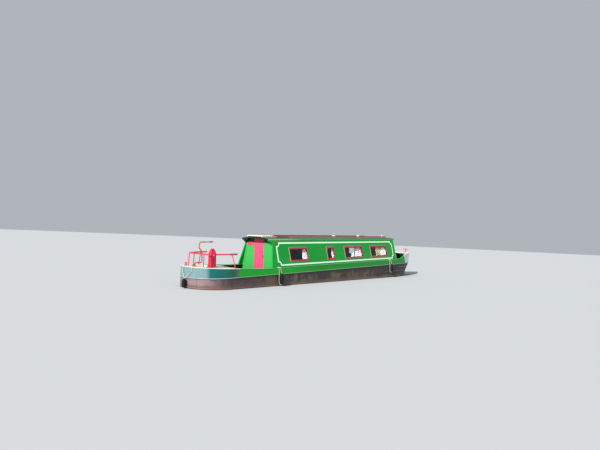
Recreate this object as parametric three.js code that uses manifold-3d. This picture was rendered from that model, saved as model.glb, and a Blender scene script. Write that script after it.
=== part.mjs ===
// Narrowboat, about 52 ft, with a cruiser-like stern deck, a long cabin and a short well deck forward.
// Millimetres, +X to the bow, +Y to port, +Z up, Z = 0 under the base plate.
// Lengthwise places are stations: 0 where the cabin sides start, less than 0 aft of it.
import * as THREE from 'three';
import Module from 'manifold-3d';
import { mergeVertices } from 'three/addons/utils/BufferGeometryUtils.js';

const wasm = await Module();
wasm.setup();

// Driving dimensions of the hull
const gap = 0.3;
const sternEnd = -3100;
const counterStart = -2060;
const swimEnd = -2290;
const swimStart = 900;
const bowTopStart = 9900;
const bowTopEnd = 12550;
const bowFootStart = 8900;
const bowFootEnd = 11750;
const halfBeam = 1040;
const halfFoot = 1010;
const hullWall = 40;
const plate = 12;
const strakeLow = 957;
const strakeHigh = 997;
const strakeProud = 20;
const counterLow = 545;
const gunwaleZ = 1220;
const sternRise = 120;
const sternRiseStart = -500;
const wellLipZ = 1250;
const bowZ = 1480;
const bowRiseStart = 9480;
const bowRiseEnd = 10250;
const stemHalf = 12;
const wellFloorZ = 800;
const aftWellStart = -1600;
const lockerStation = 10600;

// Driving dimensions of the cabin
const cabinHalf = 930;
const cabinWall = 45;
const tumblehome = Math.atan(0.237);
const cabinEnd = 9360;
const aftBulkheadStation = 200;
const roofEdgeZ = 2262;
const roofCamber = 65;
const roofThick = 50;
const roofHalf = 705;
const roofStart = -40;
const wingEdge = [
  // [station, height] down the aft edge of a cabin side, which is hollowed under the roof's overhang
  [roofStart, 2190],
  [30, 2168],
  [100, 2128],
  [148, 2088],
  [172, 2045],
];
const roofEnd = 9460;
const floorTop = 200;
const windowLow = 1381;
const windowHigh = 1941;
const windowFrame = 55;
const windowStations = [
  // [start, end]
  [1038, 2169],
  [3427, 3997],
  [4751, 6239],
  [6926, 8505],
];

// Doors, hatches and lids
const doorHalf = 262;
const doorGap = 5;
const doorLow = 885;
const doorHigh = 2250;
const doorThick = 35;
const frontDoorHalf = 400;
const frontDoorHigh = 2150;
const hatchHalf = 330;
const hatchLength = 740;
const hingeOff = 10;
const knuckleRadius = 8;
const knuckleLength = 60;
const hingeLevels = [1080, 1980];
const engineHatch = { start: -2190, end: -1650, half: 310, lip: 20, thick: 22 };
const lockerHatch = { start: 11000, end: 11500, half: 250, lip: 20, thick: 25 };

// Deck fittings and drive
const stockStation = -2800;
const stockRadius = 25;
const stockTop = 1385;
const propStation = -2400;
const shaftZ = 270;
const shaftRadius = 20;
const propRadius = 218;
const railRadius = 23;
const railZ = 1750;
const fenderRadius = 65;
const fenderDrop = { top: 1010, length: 400 };
const fenderStations = [300, 8520];
const sternFenderRadius = 75;
const lineRadius = 8;

const colours = {
  hullBlack: ['#3b3234', 0.7, 0.2],
  green: ['#1f9639', 0.35, 0.1],
  deck: ['#b9bfb4', 0.8, 0.1],
  red: ['#c02b4b', 0.4, 0.1],
  cream: ['#ece5da', 0.5, 0.1],
  steel: ['#77726c', 0.5, 0.8],
  bronze: ['#9c7a3c', 0.4, 0.9],
  wood: ['#8b6a44', 0.8, 0],
  glass: ['#20262b', 0.1, 0],
  cloth: ['#e9e6e2', 0.9, 0],
  rope: ['#26231f', 0.9, 0],
  engine: ['#3c5a4a', 0.5, 0.5],
};

// Solids and booleans
function toSolid(geometry) {
  const bare = geometry.clone();
  bare.deleteAttribute('normal');
  bare.deleteAttribute('uv');
  const merged = mergeVertices(bare, 1e-4);
  return new wasm.Manifold(new wasm.Mesh({
    numProp: 3,
    vertProperties: new Float32Array(merged.attributes.position.array),
    triVerts: new Uint32Array(merged.index.array),
  }));
}

function toGeometry(solid) {
  const mesh = solid.getMesh();
  const geometry = new THREE.BufferGeometry();
  geometry.setAttribute('position', new THREE.BufferAttribute(new Float32Array(mesh.vertProperties), 3));
  geometry.setIndex(new THREE.BufferAttribute(new Uint32Array(mesh.triVerts), 1));
  return geometry;
}

function cut(geometry, tools) {
  let solid = toSolid(geometry);
  for (const tool of tools) {
    solid = solid.subtract(toSolid(tool));
  }
  return toGeometry(solid);
}

function join(pieces) {
  let solid = toSolid(pieces[0]);
  for (const piece of pieces.slice(1)) {
    solid = solid.add(toSolid(piece));
  }
  return toGeometry(solid);
}

// A closed body through rings of [x, y, z] points, with flat caps
function capTriangles(ring) {
  const normal = new THREE.Vector3();
  ring.forEach(([x, y, z], i) => {
    const [nx, ny, nz] = ring[(i + 1) % ring.length];
    normal.x += (y - ny) * (z + nz);
    normal.y += (z - nz) * (x + nx);
    normal.z += (x - nx) * (y + ny);
  });
  const size = [Math.abs(normal.x), Math.abs(normal.y), Math.abs(normal.z)];
  const drop = size.indexOf(Math.max(...size));
  const flat = ring.map((p) => new THREE.Vector2(...p.filter((value, axis) => axis !== drop)));
  const turned = THREE.ShapeUtils.isClockWise(flat);
  const order = turned ? flat.slice().reverse() : flat;
  const last = ring.length - 1;
  return THREE.ShapeUtils.triangulateShape(order, []).map(
    (triangle) => (turned ? triangle.map((i) => last - i).reverse() : triangle));
}

function loft(rings) {
  const count = rings[0].length;
  const position = rings.flat(2);
  const index = [];
  for (let i = 0; i + 1 < rings.length; i += 1) {
    for (let j = 0; j < count; j += 1) {
      const a = i * count + j;
      const b = i * count + (j + 1) % count;
      index.push(a, b, b + count, a, b + count, a + count);
    }
  }
  const end = (rings.length - 1) * count;
  capSides(rings, index, end);
  const geometry = new THREE.BufferGeometry();
  geometry.setAttribute('position', new THREE.Float32BufferAttribute(position, 3));
  geometry.setIndex(volume(position, index) < 0 ? index.slice().reverse() : index);
  return geometry;
}

function capSides(rings, index, end) {
  const used = new Set();
  for (let k = 0; k < index.length; k += 3) {
    for (let e = 0; e < 3; e += 1) {
      used.add(`${index[k + e]}>${index[k + (e + 1) % 3]}`);
    }
  }
  for (const [ring, base] of [[rings[0], 0], [rings[rings.length - 1], end]]) {
    const triangles = capTriangles(ring);
    const next = (i) => (i + 1) % ring.length;
    const [a, b, c] = triangles.find((t) => t.some((v, e) => next(v) === t[(e + 1) % 3]
      || next(t[(e + 1) % 3]) === v));
    const edge = [[a, b], [b, c], [c, a]].find(([p, q]) => next(p) === q || next(q) === p);
    const flip = used.has(`${edge[0] + base}>${edge[1] + base}`);
    for (const t of triangles) {
      const [p, q, r] = flip ? [t[0], t[2], t[1]] : t;
      index.push(p + base, q + base, r + base);
    }
  }
}

function volume(position, index) {
  const at = (i) => new THREE.Vector3(position[3 * i], position[3 * i + 1], position[3 * i + 2]);
  let total = 0;
  for (let k = 0; k < index.length; k += 3) {
    total += at(index[k]).dot(at(index[k + 1]).cross(at(index[k + 2])));
  }
  return total;
}

function box(x0, x1, y0, y1, z0, z1) {
  const geometry = new THREE.BoxGeometry(x1 - x0, Math.abs(y1 - y0), z1 - z0);
  return geometry.translate((x0 + x1) / 2, (y0 + y1) / 2, (z0 + z1) / 2);
}

function rod(x, y, z0, z1, radius, sides = 16) {
  const geometry = new THREE.CylinderGeometry(radius, radius, z1 - z0, sides);
  return geometry.rotateX(Math.PI / 2).translate(x, y, (z0 + z1) / 2);
}

// A round bar along points, with square ends
function bar(points, radius, sides = 10) {
  const path = points.map((p) => new THREE.Vector3(...p));
  const heading = (i) => {
    const from = path[Math.max(i - 1, 0)];
    const to = path[Math.min(i + 1, path.length - 1)];
    return to.clone().sub(from).normalize();
  };
  let across = new THREE.Vector3(0, 0, 1);
  if (Math.abs(heading(0).z) > 0.8) {
    across.set(0, 1, 0);
  }
  const rings = path.map((p, i) => {
    const along = heading(i);
    across = across.sub(along.clone().multiplyScalar(across.dot(along))).normalize();
    const other = along.clone().cross(across);
    return Array.from({ length: sides }, (unused, k) => {
      const turn = (2 * Math.PI * k) / sides;
      const out = across.clone().multiplyScalar(Math.cos(turn)).addScaledVector(other, Math.sin(turn));
      return p.clone().addScaledVector(out, radius).toArray();
    });
  });
  return loft(rings);
}

// The same points with each corner rounded off
function rounded(points, radius, steps = 4) {
  const path = [points[0]];
  for (let i = 1; i + 1 < points.length; i += 1) {
    const [before, corner, after] = [points[i - 1], points[i], points[i + 1]].map(
      (p) => new THREE.Vector3(...p));
    const from = corner.clone().add(before.sub(corner).setLength(radius));
    const to = corner.clone().add(after.sub(corner).setLength(radius));
    const bend = new THREE.QuadraticBezierCurve3(from, corner, to);
    path.push(...bend.getPoints(steps).map((p) => p.toArray()));
  }
  path.push(points[points.length - 1]);
  return path;
}

// Hull lines
function smooth(value, low, high) {
  const t = THREE.MathUtils.clamp((value - low) / (high - low), 0, 1);
  return t * t * (3 - 2 * t);
}

function deckTop(station) {
  if (station < sternRiseStart) {
    return gunwaleZ + sternRise * ((sternRiseStart - station) / (sternRiseStart - sternEnd));
  }
  if (station <= cabinEnd) {
    return gunwaleZ;
  }
  return wellLipZ + (bowZ - wellLipZ) * smooth(station, bowRiseStart, bowRiseEnd);
}

// Top of the side plating, under the decks that lie on it
function hullTop(station) {
  if (station <= cabinEnd) {
    return deckTop(station) - plate - gap;
  }
  const low = gunwaleZ - plate - gap;
  const high = bowZ - plate - gap;
  return THREE.MathUtils.mapLinear(THREE.MathUtils.clamp(station, 10100, lockerStation), 10100,
    lockerStation, low, high);
}

// Bow plan at a height: station and half-width, for u from 0 at the start of the bow to 1 at the stem
function bowPoint(u, z) {
  const rise = Math.min(z / strakeLow, 1);
  const start = bowFootStart + (bowTopStart - bowFootStart) * rise;
  const end = bowFootEnd + (bowTopEnd - bowFootEnd) * Math.min(z / bowZ, 1) ** 0.8;
  const fullHalf = halfFoot + (halfBeam - halfFoot) * rise;
  const power = 1.45 + 0.15 * rise;
  const half = stemHalf + (fullHalf - stemHalf) * (1 - u ** power);
  return [start + (end - start) * u, half];
}

function halfAt(station, z) {
  const [start] = bowPoint(0, z);
  const [end] = bowPoint(1, z);
  const u = THREE.MathUtils.clamp((station - start) / (end - start), 0, 1);
  return bowPoint(u, z)[1];
}

function counterHalf(station) {
  const across = (counterStart - station) / (counterStart - sternEnd);
  return across <= 0 ? halfBeam : halfBeam * Math.sqrt(Math.max(1 - across * across, 0));
}

function swimHalf(station) {
  const t = THREE.MathUtils.clamp((station - swimEnd) / (swimStart - swimEnd), 0, 1);
  return 45 + (halfFoot - 45) * Math.sin((Math.PI / 2) * t) ** 1.15;
}

// Side plating with its strake, from the counter to the stem
function sideRing(place, side, low, top) {
  const outer = [
    [low, 0],
    [strakeLow, 0],
    [strakeLow, strakeProud],
    [strakeHigh, strakeProud],
    [strakeHigh, 0],
    [top, 0],
  ];
  const inner = [[top, -hullWall], [strakeLow, -hullWall], [low, -hullWall]];
  return [...outer, ...inner].map(([z, out]) => place(z, out, side));
}

function hullSide(side) {
  const straight = (station) => (z, out) => [station, side * (halfAt(station, z) + out), z];
  const bow = (u) => (z, out) => {
    const [station, half] = bowPoint(u, z);
    if (out >= 0) {
      return [station, side * (half + (u < 1 ? out : 0)), z];
    }
    const [before, halfBefore] = bowPoint(Math.max(u - 0.02, 0), z);
    const slope = Math.atan2(halfBefore - half, station - before);
    if (u === 1) {
      return [station + out / Math.sin(slope), side * half, z];
    }
    return [station + out * Math.sin(slope), side * (half + out * Math.cos(slope)), z];
  };
  const rings = [];
  const stern = [counterStart + gap, -1600, -1100, sternRiseStart, 0, swimStart - gap];
  for (const station of stern) {
    rings.push(sideRing(straight(station), side, counterLow + gap, hullTop(station)));
  }
  for (const station of [swimStart, bowFootStart]) {
    rings.push(sideRing(straight(station), side, plate + gap, hullTop(station)));
  }
  const atLocker = (lockerStation - bowTopStart) / (bowTopEnd - bowTopStart);
  for (const u of [0, 0.075, 0.16, atLocker, 0.34, 0.42, 0.5, 0.6, 0.7, 0.8, 0.88, 0.94, 1]) {
    const station = bowPoint(u, bowZ)[0];
    rings.push(sideRing(bow(u), side, plate + gap, hullTop(station)));
  }
  return join([loft(rings), wellBulwark(side)]);
}

// The side of the forward well, which rises from the cabin to the bow
function wellBulwark(side) {
  const low = gunwaleZ - 40;
  return loft(spaced(cabinEnd + gap, lockerStation - gap, 12).map((station) => {
    const top = deckTop(station);
    const half = halfAt(station, top);
    return [
      [station, side * (half - hullWall), low],
      [station, side * halfAt(station, low), low],
      [station, side * half, top],
      [station, side * (half - hullWall), top],
    ];
  }));
}

function counterShell() {
  const rings = [];
  const steps = 20;
  for (let i = 0; i <= steps; i += 1) {
    const turn = (Math.PI * i) / steps;
    const place = (z, out) => {
      const reach = 1 + out / halfBeam;
      return [counterStart - (counterStart - sternEnd) * Math.sin(turn) * reach,
        halfBeam * Math.cos(turn) * reach, z];
    };
    const ring = sideRing(place, 1, counterLow + gap, bowZ);
    for (const point of ring.filter(([, , z]) => z === bowZ)) {
      point[2] = hullTop(point[0]);
    }
    rings.push(ring);
  }
  return loft(rings);
}

// A level or sheered plate whose half-width and top follow the station
function deckPlate(stations, halfOf, topOf, thick) {
  return loft(stations.map((station) => {
    const half = halfOf(station);
    const top = topOf(station);
    return [
      [station, -half, top - thick],
      [station, half, top - thick],
      [station, half, top],
      [station, -half, top],
    ];
  }));
}

function spaced(from, to, count) {
  return Array.from({ length: count + 1 }, (unused, i) => from + ((to - from) * i) / count);
}

function sternStations() {
  const arc = [5, 12, 20, 30, 40, 52, 64, 76, 90].map((degrees) => {
    const turn = THREE.MathUtils.degToRad(degrees);
    return counterStart - (counterStart - sternEnd) * Math.cos(turn);
  });
  return arc;
}

function basePlate() {
  const aft = [swimEnd - 700, swimEnd, ...spaced(swimEnd + 200, swimStart, 6)];
  const fore = [0, 0.08, 0.2, 0.35, 0.5, 0.65, 0.8, 0.9, 1].map((u) => bowPoint(u, 0)[0]);
  const half = (station) => {
    if (station <= swimEnd) {
      return 40;
    }
    return station < swimStart ? swimHalf(station) : halfAt(station, 0);
  };
  const skeg = box(swimEnd - 700, swimEnd - 90 - gap, -40, 40, 2, 40);
  return join([deckPlate([...aft, ...fore], half, () => plate, plate), skeg]);
}

function swim(side) {
  return loft(spaced(swimEnd + gap, swimStart - gap, 9).map((station) => {
    const half = swimHalf(station);
    const inner = Math.max(half - hullWall, shaftRadius + 7);
    return [
      [station, side * half, plate + gap],
      [station, side * half, counterLow - plate - gap],
      [station, side * inner, counterLow - plate - gap],
      [station, side * inner, plate + gap],
    ];
  }));
}

function counterPlate() {
  const half = (station) => counterHalf(station);
  const top = () => counterLow;
  const sheet = deckPlate([...sternStations(), -1000, swimStart - gap], half, top, plate);
  const bayStations = [...spaced(-1700, swimStart - 200, 6), swimStart + 50];
  const bay = deckPlate(bayStations, (s) => swimHalf(s) - 60, () => counterLow + 20, 80);
  return cut(sheet, [bay, rod(stockStation, 0, 400, 700, stockRadius + 5)]);
}

function sternPost() {
  const post = box(swimEnd - 90, swimEnd, -45, 45, plate + gap, counterLow - plate - gap);
  const bore = new THREE.CylinderGeometry(shaftRadius + 6, shaftRadius + 6, 200, 16);
  bore.rotateZ(Math.PI / 2).translate(swimEnd - 45, 0, shaftZ);
  return cut(post, [bore]);
}

function stemPost() {
  const levels = [plate + gap, 300, 620, 957, 1250, bowZ - plate - gap];
  return loft(levels.map((z) => {
    const [end] = bowPoint(1, z);
    return [
      [end - 90, -stemHalf + gap, z],
      [end + 6, -stemHalf + gap, z],
      [end + 6, stemHalf - gap, z],
      [end - 90, stemHalf - gap, z],
    ];
  }));
}

// Decks and wells
function sideDeck(side) {
  const stations = [aftWellStart, -1300, -900, sternRiseStart, 0, cabinEnd];
  return loft(stations.map((station) => {
    const top = deckTop(station);
    return [
      [station, side * 850, top - plate],
      [station, side * halfBeam, top - plate],
      [station, side * halfBeam, top],
      [station, side * 850, top],
    ];
  }));
}

function aftDeck() {
  const stations = [...sternStations(), -1850, aftWellStart - gap];
  const sheet = deckPlate(stations, counterHalf, deckTop, plate);
  const hatch = box(engineHatch.start, engineHatch.end, -engineHatch.half, engineHatch.half, 1000, 1500);
  return cut(sheet, [hatch, rod(stockStation, 0, 1000, 1500, stockRadius + 5)]);
}

function hatchLid(hatch) {
  const stations = spaced(hatch.start - hatch.lip, hatch.end + hatch.lip, 3);
  const top = (station) => deckTop(station) + gap + hatch.thick;
  return deckPlate(stations, () => hatch.half + hatch.lip, top, hatch.thick);
}

function aftWell() {
  const inner = halfAt(0, wellFloorZ - 30) - hullWall - gap;
  const floor = box(aftWellStart, aftBulkheadStation - gap, -inner, inner, wellFloorZ - 30, wellFloorZ);
  const riserTop = deckTop(aftWellStart + 30) - plate - gap;
  const riser = box(aftWellStart, aftWellStart + 30, -inner, inner, wellFloorZ - 10, riserTop);
  return join([floor, riser]);
}

function foreWell() {
  const stations = spaced(cabinEnd + gap, lockerStation - 20, 5);
  const half = (station) => halfAt(station + 150, wellFloorZ - 30) - hullWall - 2;
  const floor = deckPlate(stations, half, () => wellFloorZ, 30);
  const top = bowZ - plate - gap;
  const wallHalf = half(lockerStation);
  const wall = box(lockerStation - 40, lockerStation - gap, -wallHalf, wallHalf, wellFloorZ - 10, top);
  return join([floor, wall]);
}

function foredeck() {
  const stations = [lockerStation, 10850, 11150, 11500, 11850, 12150, 12380, bowTopEnd];
  const sheet = deckPlate(stations, (s) => halfAt(s, bowZ), deckTop, plate);
  const hatch = box(lockerHatch.start, lockerHatch.end, -lockerHatch.half, lockerHatch.half, 1300, 1600);
  return cut(sheet, [hatch]);
}

function cabinFloor() {
  const half = halfFoot - hullWall - 10;
  const sheet = box(960, 8850, -half, half, floorTop - 30, floorTop);
  const bearers = [-700, 0, 700].map((y) => box(960, 8850, y - 40, y + 40, plate + gap, floorTop - 10));
  return join([sheet, ...bearers]);
}

// Cabin. A side panel is drawn flat, with v up its slope, then leaned in.
const panelLift = cabinWall * Math.sin(tumblehome) + gap;
const slopeHeight = (z) => (z - gunwaleZ - panelLift) / Math.cos(tumblehome);

function leaned(side) {
  const group = new THREE.Group();
  group.rotation.x = Math.PI / 2 + side * tumblehome;
  group.position.set(0, side * cabinHalf, gunwaleZ + panelLift);
  return group;
}

// A slab between two distances out from the panel's outer face
function slab(side, x0, x1, v0, v1, out0, out1) {
  const [low, high] = [-side * out0, -side * out1].sort((a, b) => a - b);
  return box(x0, x1, v0, v1, low, high);
}

function cabinSide(side) {
  const top = slopeHeight(roofEdgeZ - roofThick - gap - 0.4);
  const outline = new THREE.Shape();
  outline.moveTo(0, 0);
  outline.lineTo(cabinEnd, 0);
  outline.lineTo(cabinEnd, top);
  outline.lineTo(roofStart, top);
  wingEdge.forEach(([station, height]) => outline.lineTo(station, slopeHeight(height)));
  outline.closePath();
  const panel = new THREE.ExtrudeGeometry(outline, { depth: cabinWall, bevelEnabled: false });
  panel.translate(0, 0, side > 0 ? 0 : -cabinWall);
  const openings = windowStations.map(([start, end]) => slab(side, start + 20, end - 20,
    slopeHeight(windowLow) + 20, slopeHeight(windowHigh) - 20, 20, -cabinWall - 20));
  return cut(panel, openings);
}

// Frame and pane as one body: a flange on the panel, a neck through it and a thin pane
function windowUnit(side, start, end) {
  const low = slopeHeight(windowLow);
  const high = slopeHeight(windowHigh);
  const neck = 20 + gap;
  const flange = slab(side, start, end, low, high, gap, 12);
  const sleeve = slab(side, start + neck, end - neck, low + neck, high - neck, -cabinWall, 6);
  const frame = join([flange, sleeve]);
  const inside = windowFrame;
  const front = slab(side, start + inside, end - inside, low + inside, high - inside, -8, 40);
  const back = slab(side, start + inside, end - inside, low + inside, high - inside, -80, -14);
  return cut(frame, [front, back]);
}

function curtains(side) {
  const rail = slab(side, 900, 8600, slopeHeight(windowHigh) - 5, slopeHeight(windowHigh) + 15,
    -cabinWall - gap, -cabinWall - 30);
  const panels = windowStations.map(([start, end]) => {
    const width = Math.min(330, (end - start) * 0.42);
    return slab(side, end - width - 20, end + 10, slopeHeight(windowLow) - 20, slopeHeight(windowHigh),
      -cabinWall - 6, -cabinWall - 36);
  });
  return join([rail, ...panels]);
}

// The roof's arch, in straight strips across
const roofStrip = roofHalf / 5;

function roofTop(y) {
  const arch = (value) => roofEdgeZ + roofCamber * (1 - (value / roofHalf) ** 2);
  const start = Math.floor(y / roofStrip) * roofStrip;
  return arch(start) + ((arch(start + roofStrip) - arch(start)) * (y - start)) / roofStrip;
}

function roofSlab(start, end, half, lift, thick) {
  const across = spaced(-5, 5, 10).map((k) => (k * half) / 5);
  return loft([start, end].map((station) => [
    ...across.map((y) => [station, y, roofTop(y) + lift]),
    ...across.slice().reverse().map((y) => [station, y, roofTop(y) + lift - thick]),
  ]));
}

function roof() {
  const notch = box(roofStart - 50, roofStart + hatchLength, -hatchHalf, hatchHalf, 2000, 2600);
  const runners = [-1, 1].map((side) => {
    const y = side * (hatchHalf + 15);
    return box(roofStart + 10, 1500, y - 13, y + 13, roofTop(y) - 20, roofTop(y) + 30);
  });
  return join([cut(roofSlab(roofStart, roofEnd, roofHalf, 0, roofThick), [notch]), ...runners]);
}

function slidingHatch() {
  const y = hatchHalf + 15;
  const low = roofTop(y) + 30 + gap;
  const top = loft([roofStart - 15, roofStart + hatchLength + 60].map((station) => {
    const across = spaced(-hatchHalf - 58, hatchHalf + 58, 8);
    const arch = (value) => low + 12 * (1 - (value / (hatchHalf + 58)) ** 2);
    return [
      ...across.map((value) => [station, value, arch(value) + 34]),
      ...across.slice().reverse().map((value) => [station, value, low]),
    ];
  }));
  const skirts = [-1, 1].map((side) => {
    const inner = side * (hatchHalf + 36);
    const outer = side * (hatchHalf + 58);
    const [a, b] = [inner, outer].sort((p, q) => p - q);
    return box(roofStart - 15, roofStart + hatchLength + 60, a, b, roofTop(inner) + 6, low + 5);
  });
  const lip = box(roofStart - 15, roofStart + 5, -hatchHalf + 6, hatchHalf - 6, doorHigh + 12, low + 5);
  return join([top, ...skirts, lip]);
}

// Hinge knuckles with a leaf, on a door or on its frame: out is +1 or -1 along X, way +1 or -1 along Y
function knuckles(face, out, y, way, onDoor) {
  const spans = hingeLevels.flatMap((z) => (onDoor ? [[z, z + knuckleLength]]
    : [[z - 30, z - gap], [z + knuckleLength + gap, z + knuckleLength + 30]]));
  const [near, far] = [face - out, face + out * 7].sort((a, b) => a - b);
  return spans.flatMap(([low, high]) => [
    rod(face + out * hingeOff, y, low, high, knuckleRadius, 12),
    box(near, far, Math.min(y, y + way * 36), Math.max(y, y + way * 36), low, high),
  ]);
}

function bulkhead(station, low, openingHalf, openingLow, openingHigh) {
  const innerHalf = (z) => cabinHalf - Math.tan(tumblehome) * (z - gunwaleZ - panelLift)
    - cabinWall / Math.cos(tumblehome) - gap - 0.5;
  const under = (y) => roofTop(y) - roofThick - gap;
  const topHalf = innerHalf(2205);
  const lowHalf = halfAt(0, low) - hullWall - gap;
  const right = [
    [lowHalf, low],
    [halfBeam - hullWall - gap, strakeLow],
    [halfBeam - hullWall - gap, gunwaleZ - plate - gap],
    [849, gunwaleZ - plate - gap],
    [849, 1376],
    [topHalf, 2205],
  ];
  const nodes = [4, 3, 2, 1, 0, -1, -2, -3, -4].map((k) => k * roofStrip);
  const arc = [topHalf, ...nodes, -topHalf].map((y) => [y, under(y)]);
  const left = right.slice().reverse().map(([y, z]) => [-y, z]);
  const ring = [...right, ...arc, ...left];
  const sheet = loft([station, station + cabinWall].map((s) => ring.map(([y, z]) => [s, y, z])));
  const doorway = box(station - 20, station + cabinWall + 20, -openingHalf, openingHalf,
    openingLow, openingHigh);
  return cut(sheet, [doorway]);
}

function handrail(side) {
  const y = side * 620;
  const high = roofTop(y) + 112;
  const top = bar(rounded([[250, y, roofTop(y) - 20], [265, y, high - 19], [8640, y, high - 19],
    [8655, y, roofTop(y) - 20]], 40, 3), 19, 8);
  const feet = spaced(1300, 7600, 5).map((station) => rod(station, y, roofTop(y) - 20, high - 19, 11, 8));
  const cutter = roofSlab(roofStart, roofEnd, roofHalf, gap, 200);
  return cut(join([top, ...feet]), [cutter]);
}

// Stern rail, helm and deck gear
const deckCutter = deckPlate([...sternStations(), -1850, -1200, -600],
  (s) => Math.max(counterHalf(s), 1), (s) => deckTop(s) + gap, 400);

function sternRail() {
  const half = [[-1640, 800], [-1900, 840], [-2620, 560]];
  const path = [...half.map(([s, y]) => [s, -y, railZ]), ...half.slice().reverse().map(
    ([s, y]) => [s, y, railZ])];
  const pieces = [bar(rounded(path, 110, 4), railRadius)];
  for (const side of [-1, 1]) {
    pieces.push(bar([[-1900, side * 840, railZ], [-1860, side * 985, 1150]], 17, 8));
    for (const y of [260, 530]) {
      pieces.push(bar([[-2620, side * y, railZ], [-2640, side * (y + 15), 1150]], 15, 8));
    }
  }
  return cut(join(pieces), [deckCutter]);
}

function controlColumn() {
  const rings = [
    // [z, half-length, half-width]
    [1200, 122, 76],
    [1780, 116, 70],
    [1800, 100, 60],
    [1860, 92, 56],
    [1938, 30, 22],
  ];
  const column = loft(rings.map(([z, along, across]) => [
    [-2400 - along, -420 - across, z],
    [-2400 + along, -420 - across, z],
    [-2400 + along, -420 + across, z],
    [-2400 - along, -420 + across, z],
  ]));
  return cut(column, [deckCutter]);
}

function rudder() {
  const stock = rod(stockStation, 0, 40 + gap, stockTop, stockRadius);
  const section = [
    // [station, half thickness]
    [-3060, 6],
    [-2860, 16],
    [-2640, 16],
    [-2572, 7],
  ];
  const outline = [...section, ...section.slice().reverse().map(([s, half]) => [s, -half])];
  const blade = loft([60, 500].map((z) => outline.map(([s, y]) => [s, y, z])));
  return join([stock, blade]);
}

function tiller() {
  const neck = [[-2800, 0, stockTop + gap], [-2800, 0, 1450], [-2500, 0, 1450], [-2500, 0, 1810],
    [-2640, 0, 1960], [-2600, 0, 2139], [-2170, 0, 2139]];
  const arm = bar(rounded(neck, 55, 4), 19);
  const grip = bar([[-2190, 0, 2139], [-2170, 0, 2139], [-2050, 0, 2139]], 24);
  return join([arm, grip]);
}

function propeller() {
  const along = (x0, x1, radius) => {
    const piece = new THREE.CylinderGeometry(radius, radius, x1 - x0, 16);
    return piece.rotateZ(Math.PI / 2).translate((x0 + x1) / 2, 0, shaftZ);
  };
  const shaft = along(propStation - 60, -1500 - gap, shaftRadius);
  const hub = along(propStation - 75, propStation + 5, 42);
  const blades = [0, 1, 2].map((k) => {
    const rings = [
      // [radius, half chord, half thickness, pitch in degrees]
      [30, 45, 9, 52],
      [100, 80, 7, 38],
      [170, 78, 5, 28],
      [propRadius, 35, 3, 24],
    ].map(([radius, chord, thick, pitch]) => {
      const turn = THREE.MathUtils.degToRad(pitch);
      return [[-chord, 0], [0, -thick], [chord, 0], [0, thick]].map(([along1, across1]) => [
        propStation - 35 + Math.sin(turn) * along1 * 0.55 + Math.cos(turn) * across1,
        Math.cos(turn) * along1 - Math.sin(turn) * across1,
        radius,
      ]);
    });
    return loft(rings).rotateX((2 * Math.PI * k) / 3).translate(0, 0, shaftZ);
  });
  return join([shaft, hub, ...blades]);
}

function engine() {
  const block = box(-1500, -700, -230, 230, 110, 690);
  const bearers = [-190, 190].map((y) => box(-1450, -750, y - 35, y + 35, plate + gap, 130));
  return join([block, ...bearers]);
}

function tStud() {
  const deck = deckTop(12150) + gap;
  const post = rod(12150, 0, deck, deck + 190, 26);
  const foot = rod(12150, 0, deck, deck + 14, 75);
  const head = new THREE.CylinderGeometry(20, 20, 300, 12).translate(12150, 0, deck + 165);
  return join([foot, post, head]);
}

// Fenders hang by their lanyards, fused to them
function fenderBody(x, y, top, length, radius) {
  const bulge = [
    // [height from the top, share of the radius]
    [0, 0.35],
    [30, 0.85],
    [80, 1],
    [length - 80, 1],
    [length - 30, 0.85],
    [length, 0.35],
  ];
  const profile = [new THREE.Vector2(0, -length), ...bulge.slice().reverse().map(
    ([drop, share]) => new THREE.Vector2(radius * share, -drop)), new THREE.Vector2(0, 0)];
  return new THREE.LatheGeometry(profile, 16).rotateX(Math.PI / 2).translate(x, y, top);
}

function sideFender(side, station) {
  const y = halfBeam + strakeProud + fenderRadius + gap;
  const lie = gunwaleZ + gap + lineRadius;
  const body = fenderBody(station, side * y, fenderDrop.top, fenderDrop.length, fenderRadius);
  const rope = bar([[station, side * 940, lie], [station, side * 1000, lie], [station, side * 1046, lie],
    [station, side * 1053, 1210], [station, side * (y - 20), 1060], [station, side * y, 960]], lineRadius, 8);
  return join([body, rope]);
}

function sternFender() {
  const x = sternEnd - strakeProud - sternFenderRadius - gap;
  const body = fenderBody(x, 0, 950, 290, sternFenderRadius);
  const lie = (station) => deckTop(station) + gap + lineRadius;
  const lines = [-1, 1].map((side) => bar([[sternEnd + 110, side * 236, lie(sternEnd + 110)],
    [sternEnd + 5, side * 226, lie(sternEnd + 5)], [sternEnd - 16, side * 210, lie(sternEnd) - 22],
    [x + 25, side * 30, 955], [x, 0, 930]], lineRadius, 8));
  return join([body, ...lines]);
}

// Assembly
const group = new THREE.Group();

function add(parent, name, geometry, colour) {
  const [tint, roughness, metalness] = colours[colour];
  const material = new THREE.MeshStandardMaterial({ color: tint, roughness, metalness });
  const mesh = new THREE.Mesh(geometry, material);
  mesh.name = name;
  parent.add(mesh);
}

const sides = [
  // [name, side]
  ['starboard', -1],
  ['port', 1],
];

add(group, 'base_plate', basePlate(), 'hullBlack');
add(group, 'counter_shell', counterShell(), 'hullBlack');
add(group, 'counter_plate', counterPlate(), 'hullBlack');
add(group, 'stern_post', sternPost(), 'hullBlack');
add(group, 'stem_post', stemPost(), 'hullBlack');
add(group, 'aft_deck', aftDeck(), 'deck');
add(group, 'aft_well', aftWell(), 'deck');
add(group, 'fore_well', foreWell(), 'deck');
add(group, 'foredeck', foredeck(), 'deck');
add(group, 'cabin_floor', cabinFloor(), 'wood');
add(group, 'roof', roof(), 'green');
const aftFace = aftBulkheadStation;
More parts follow.
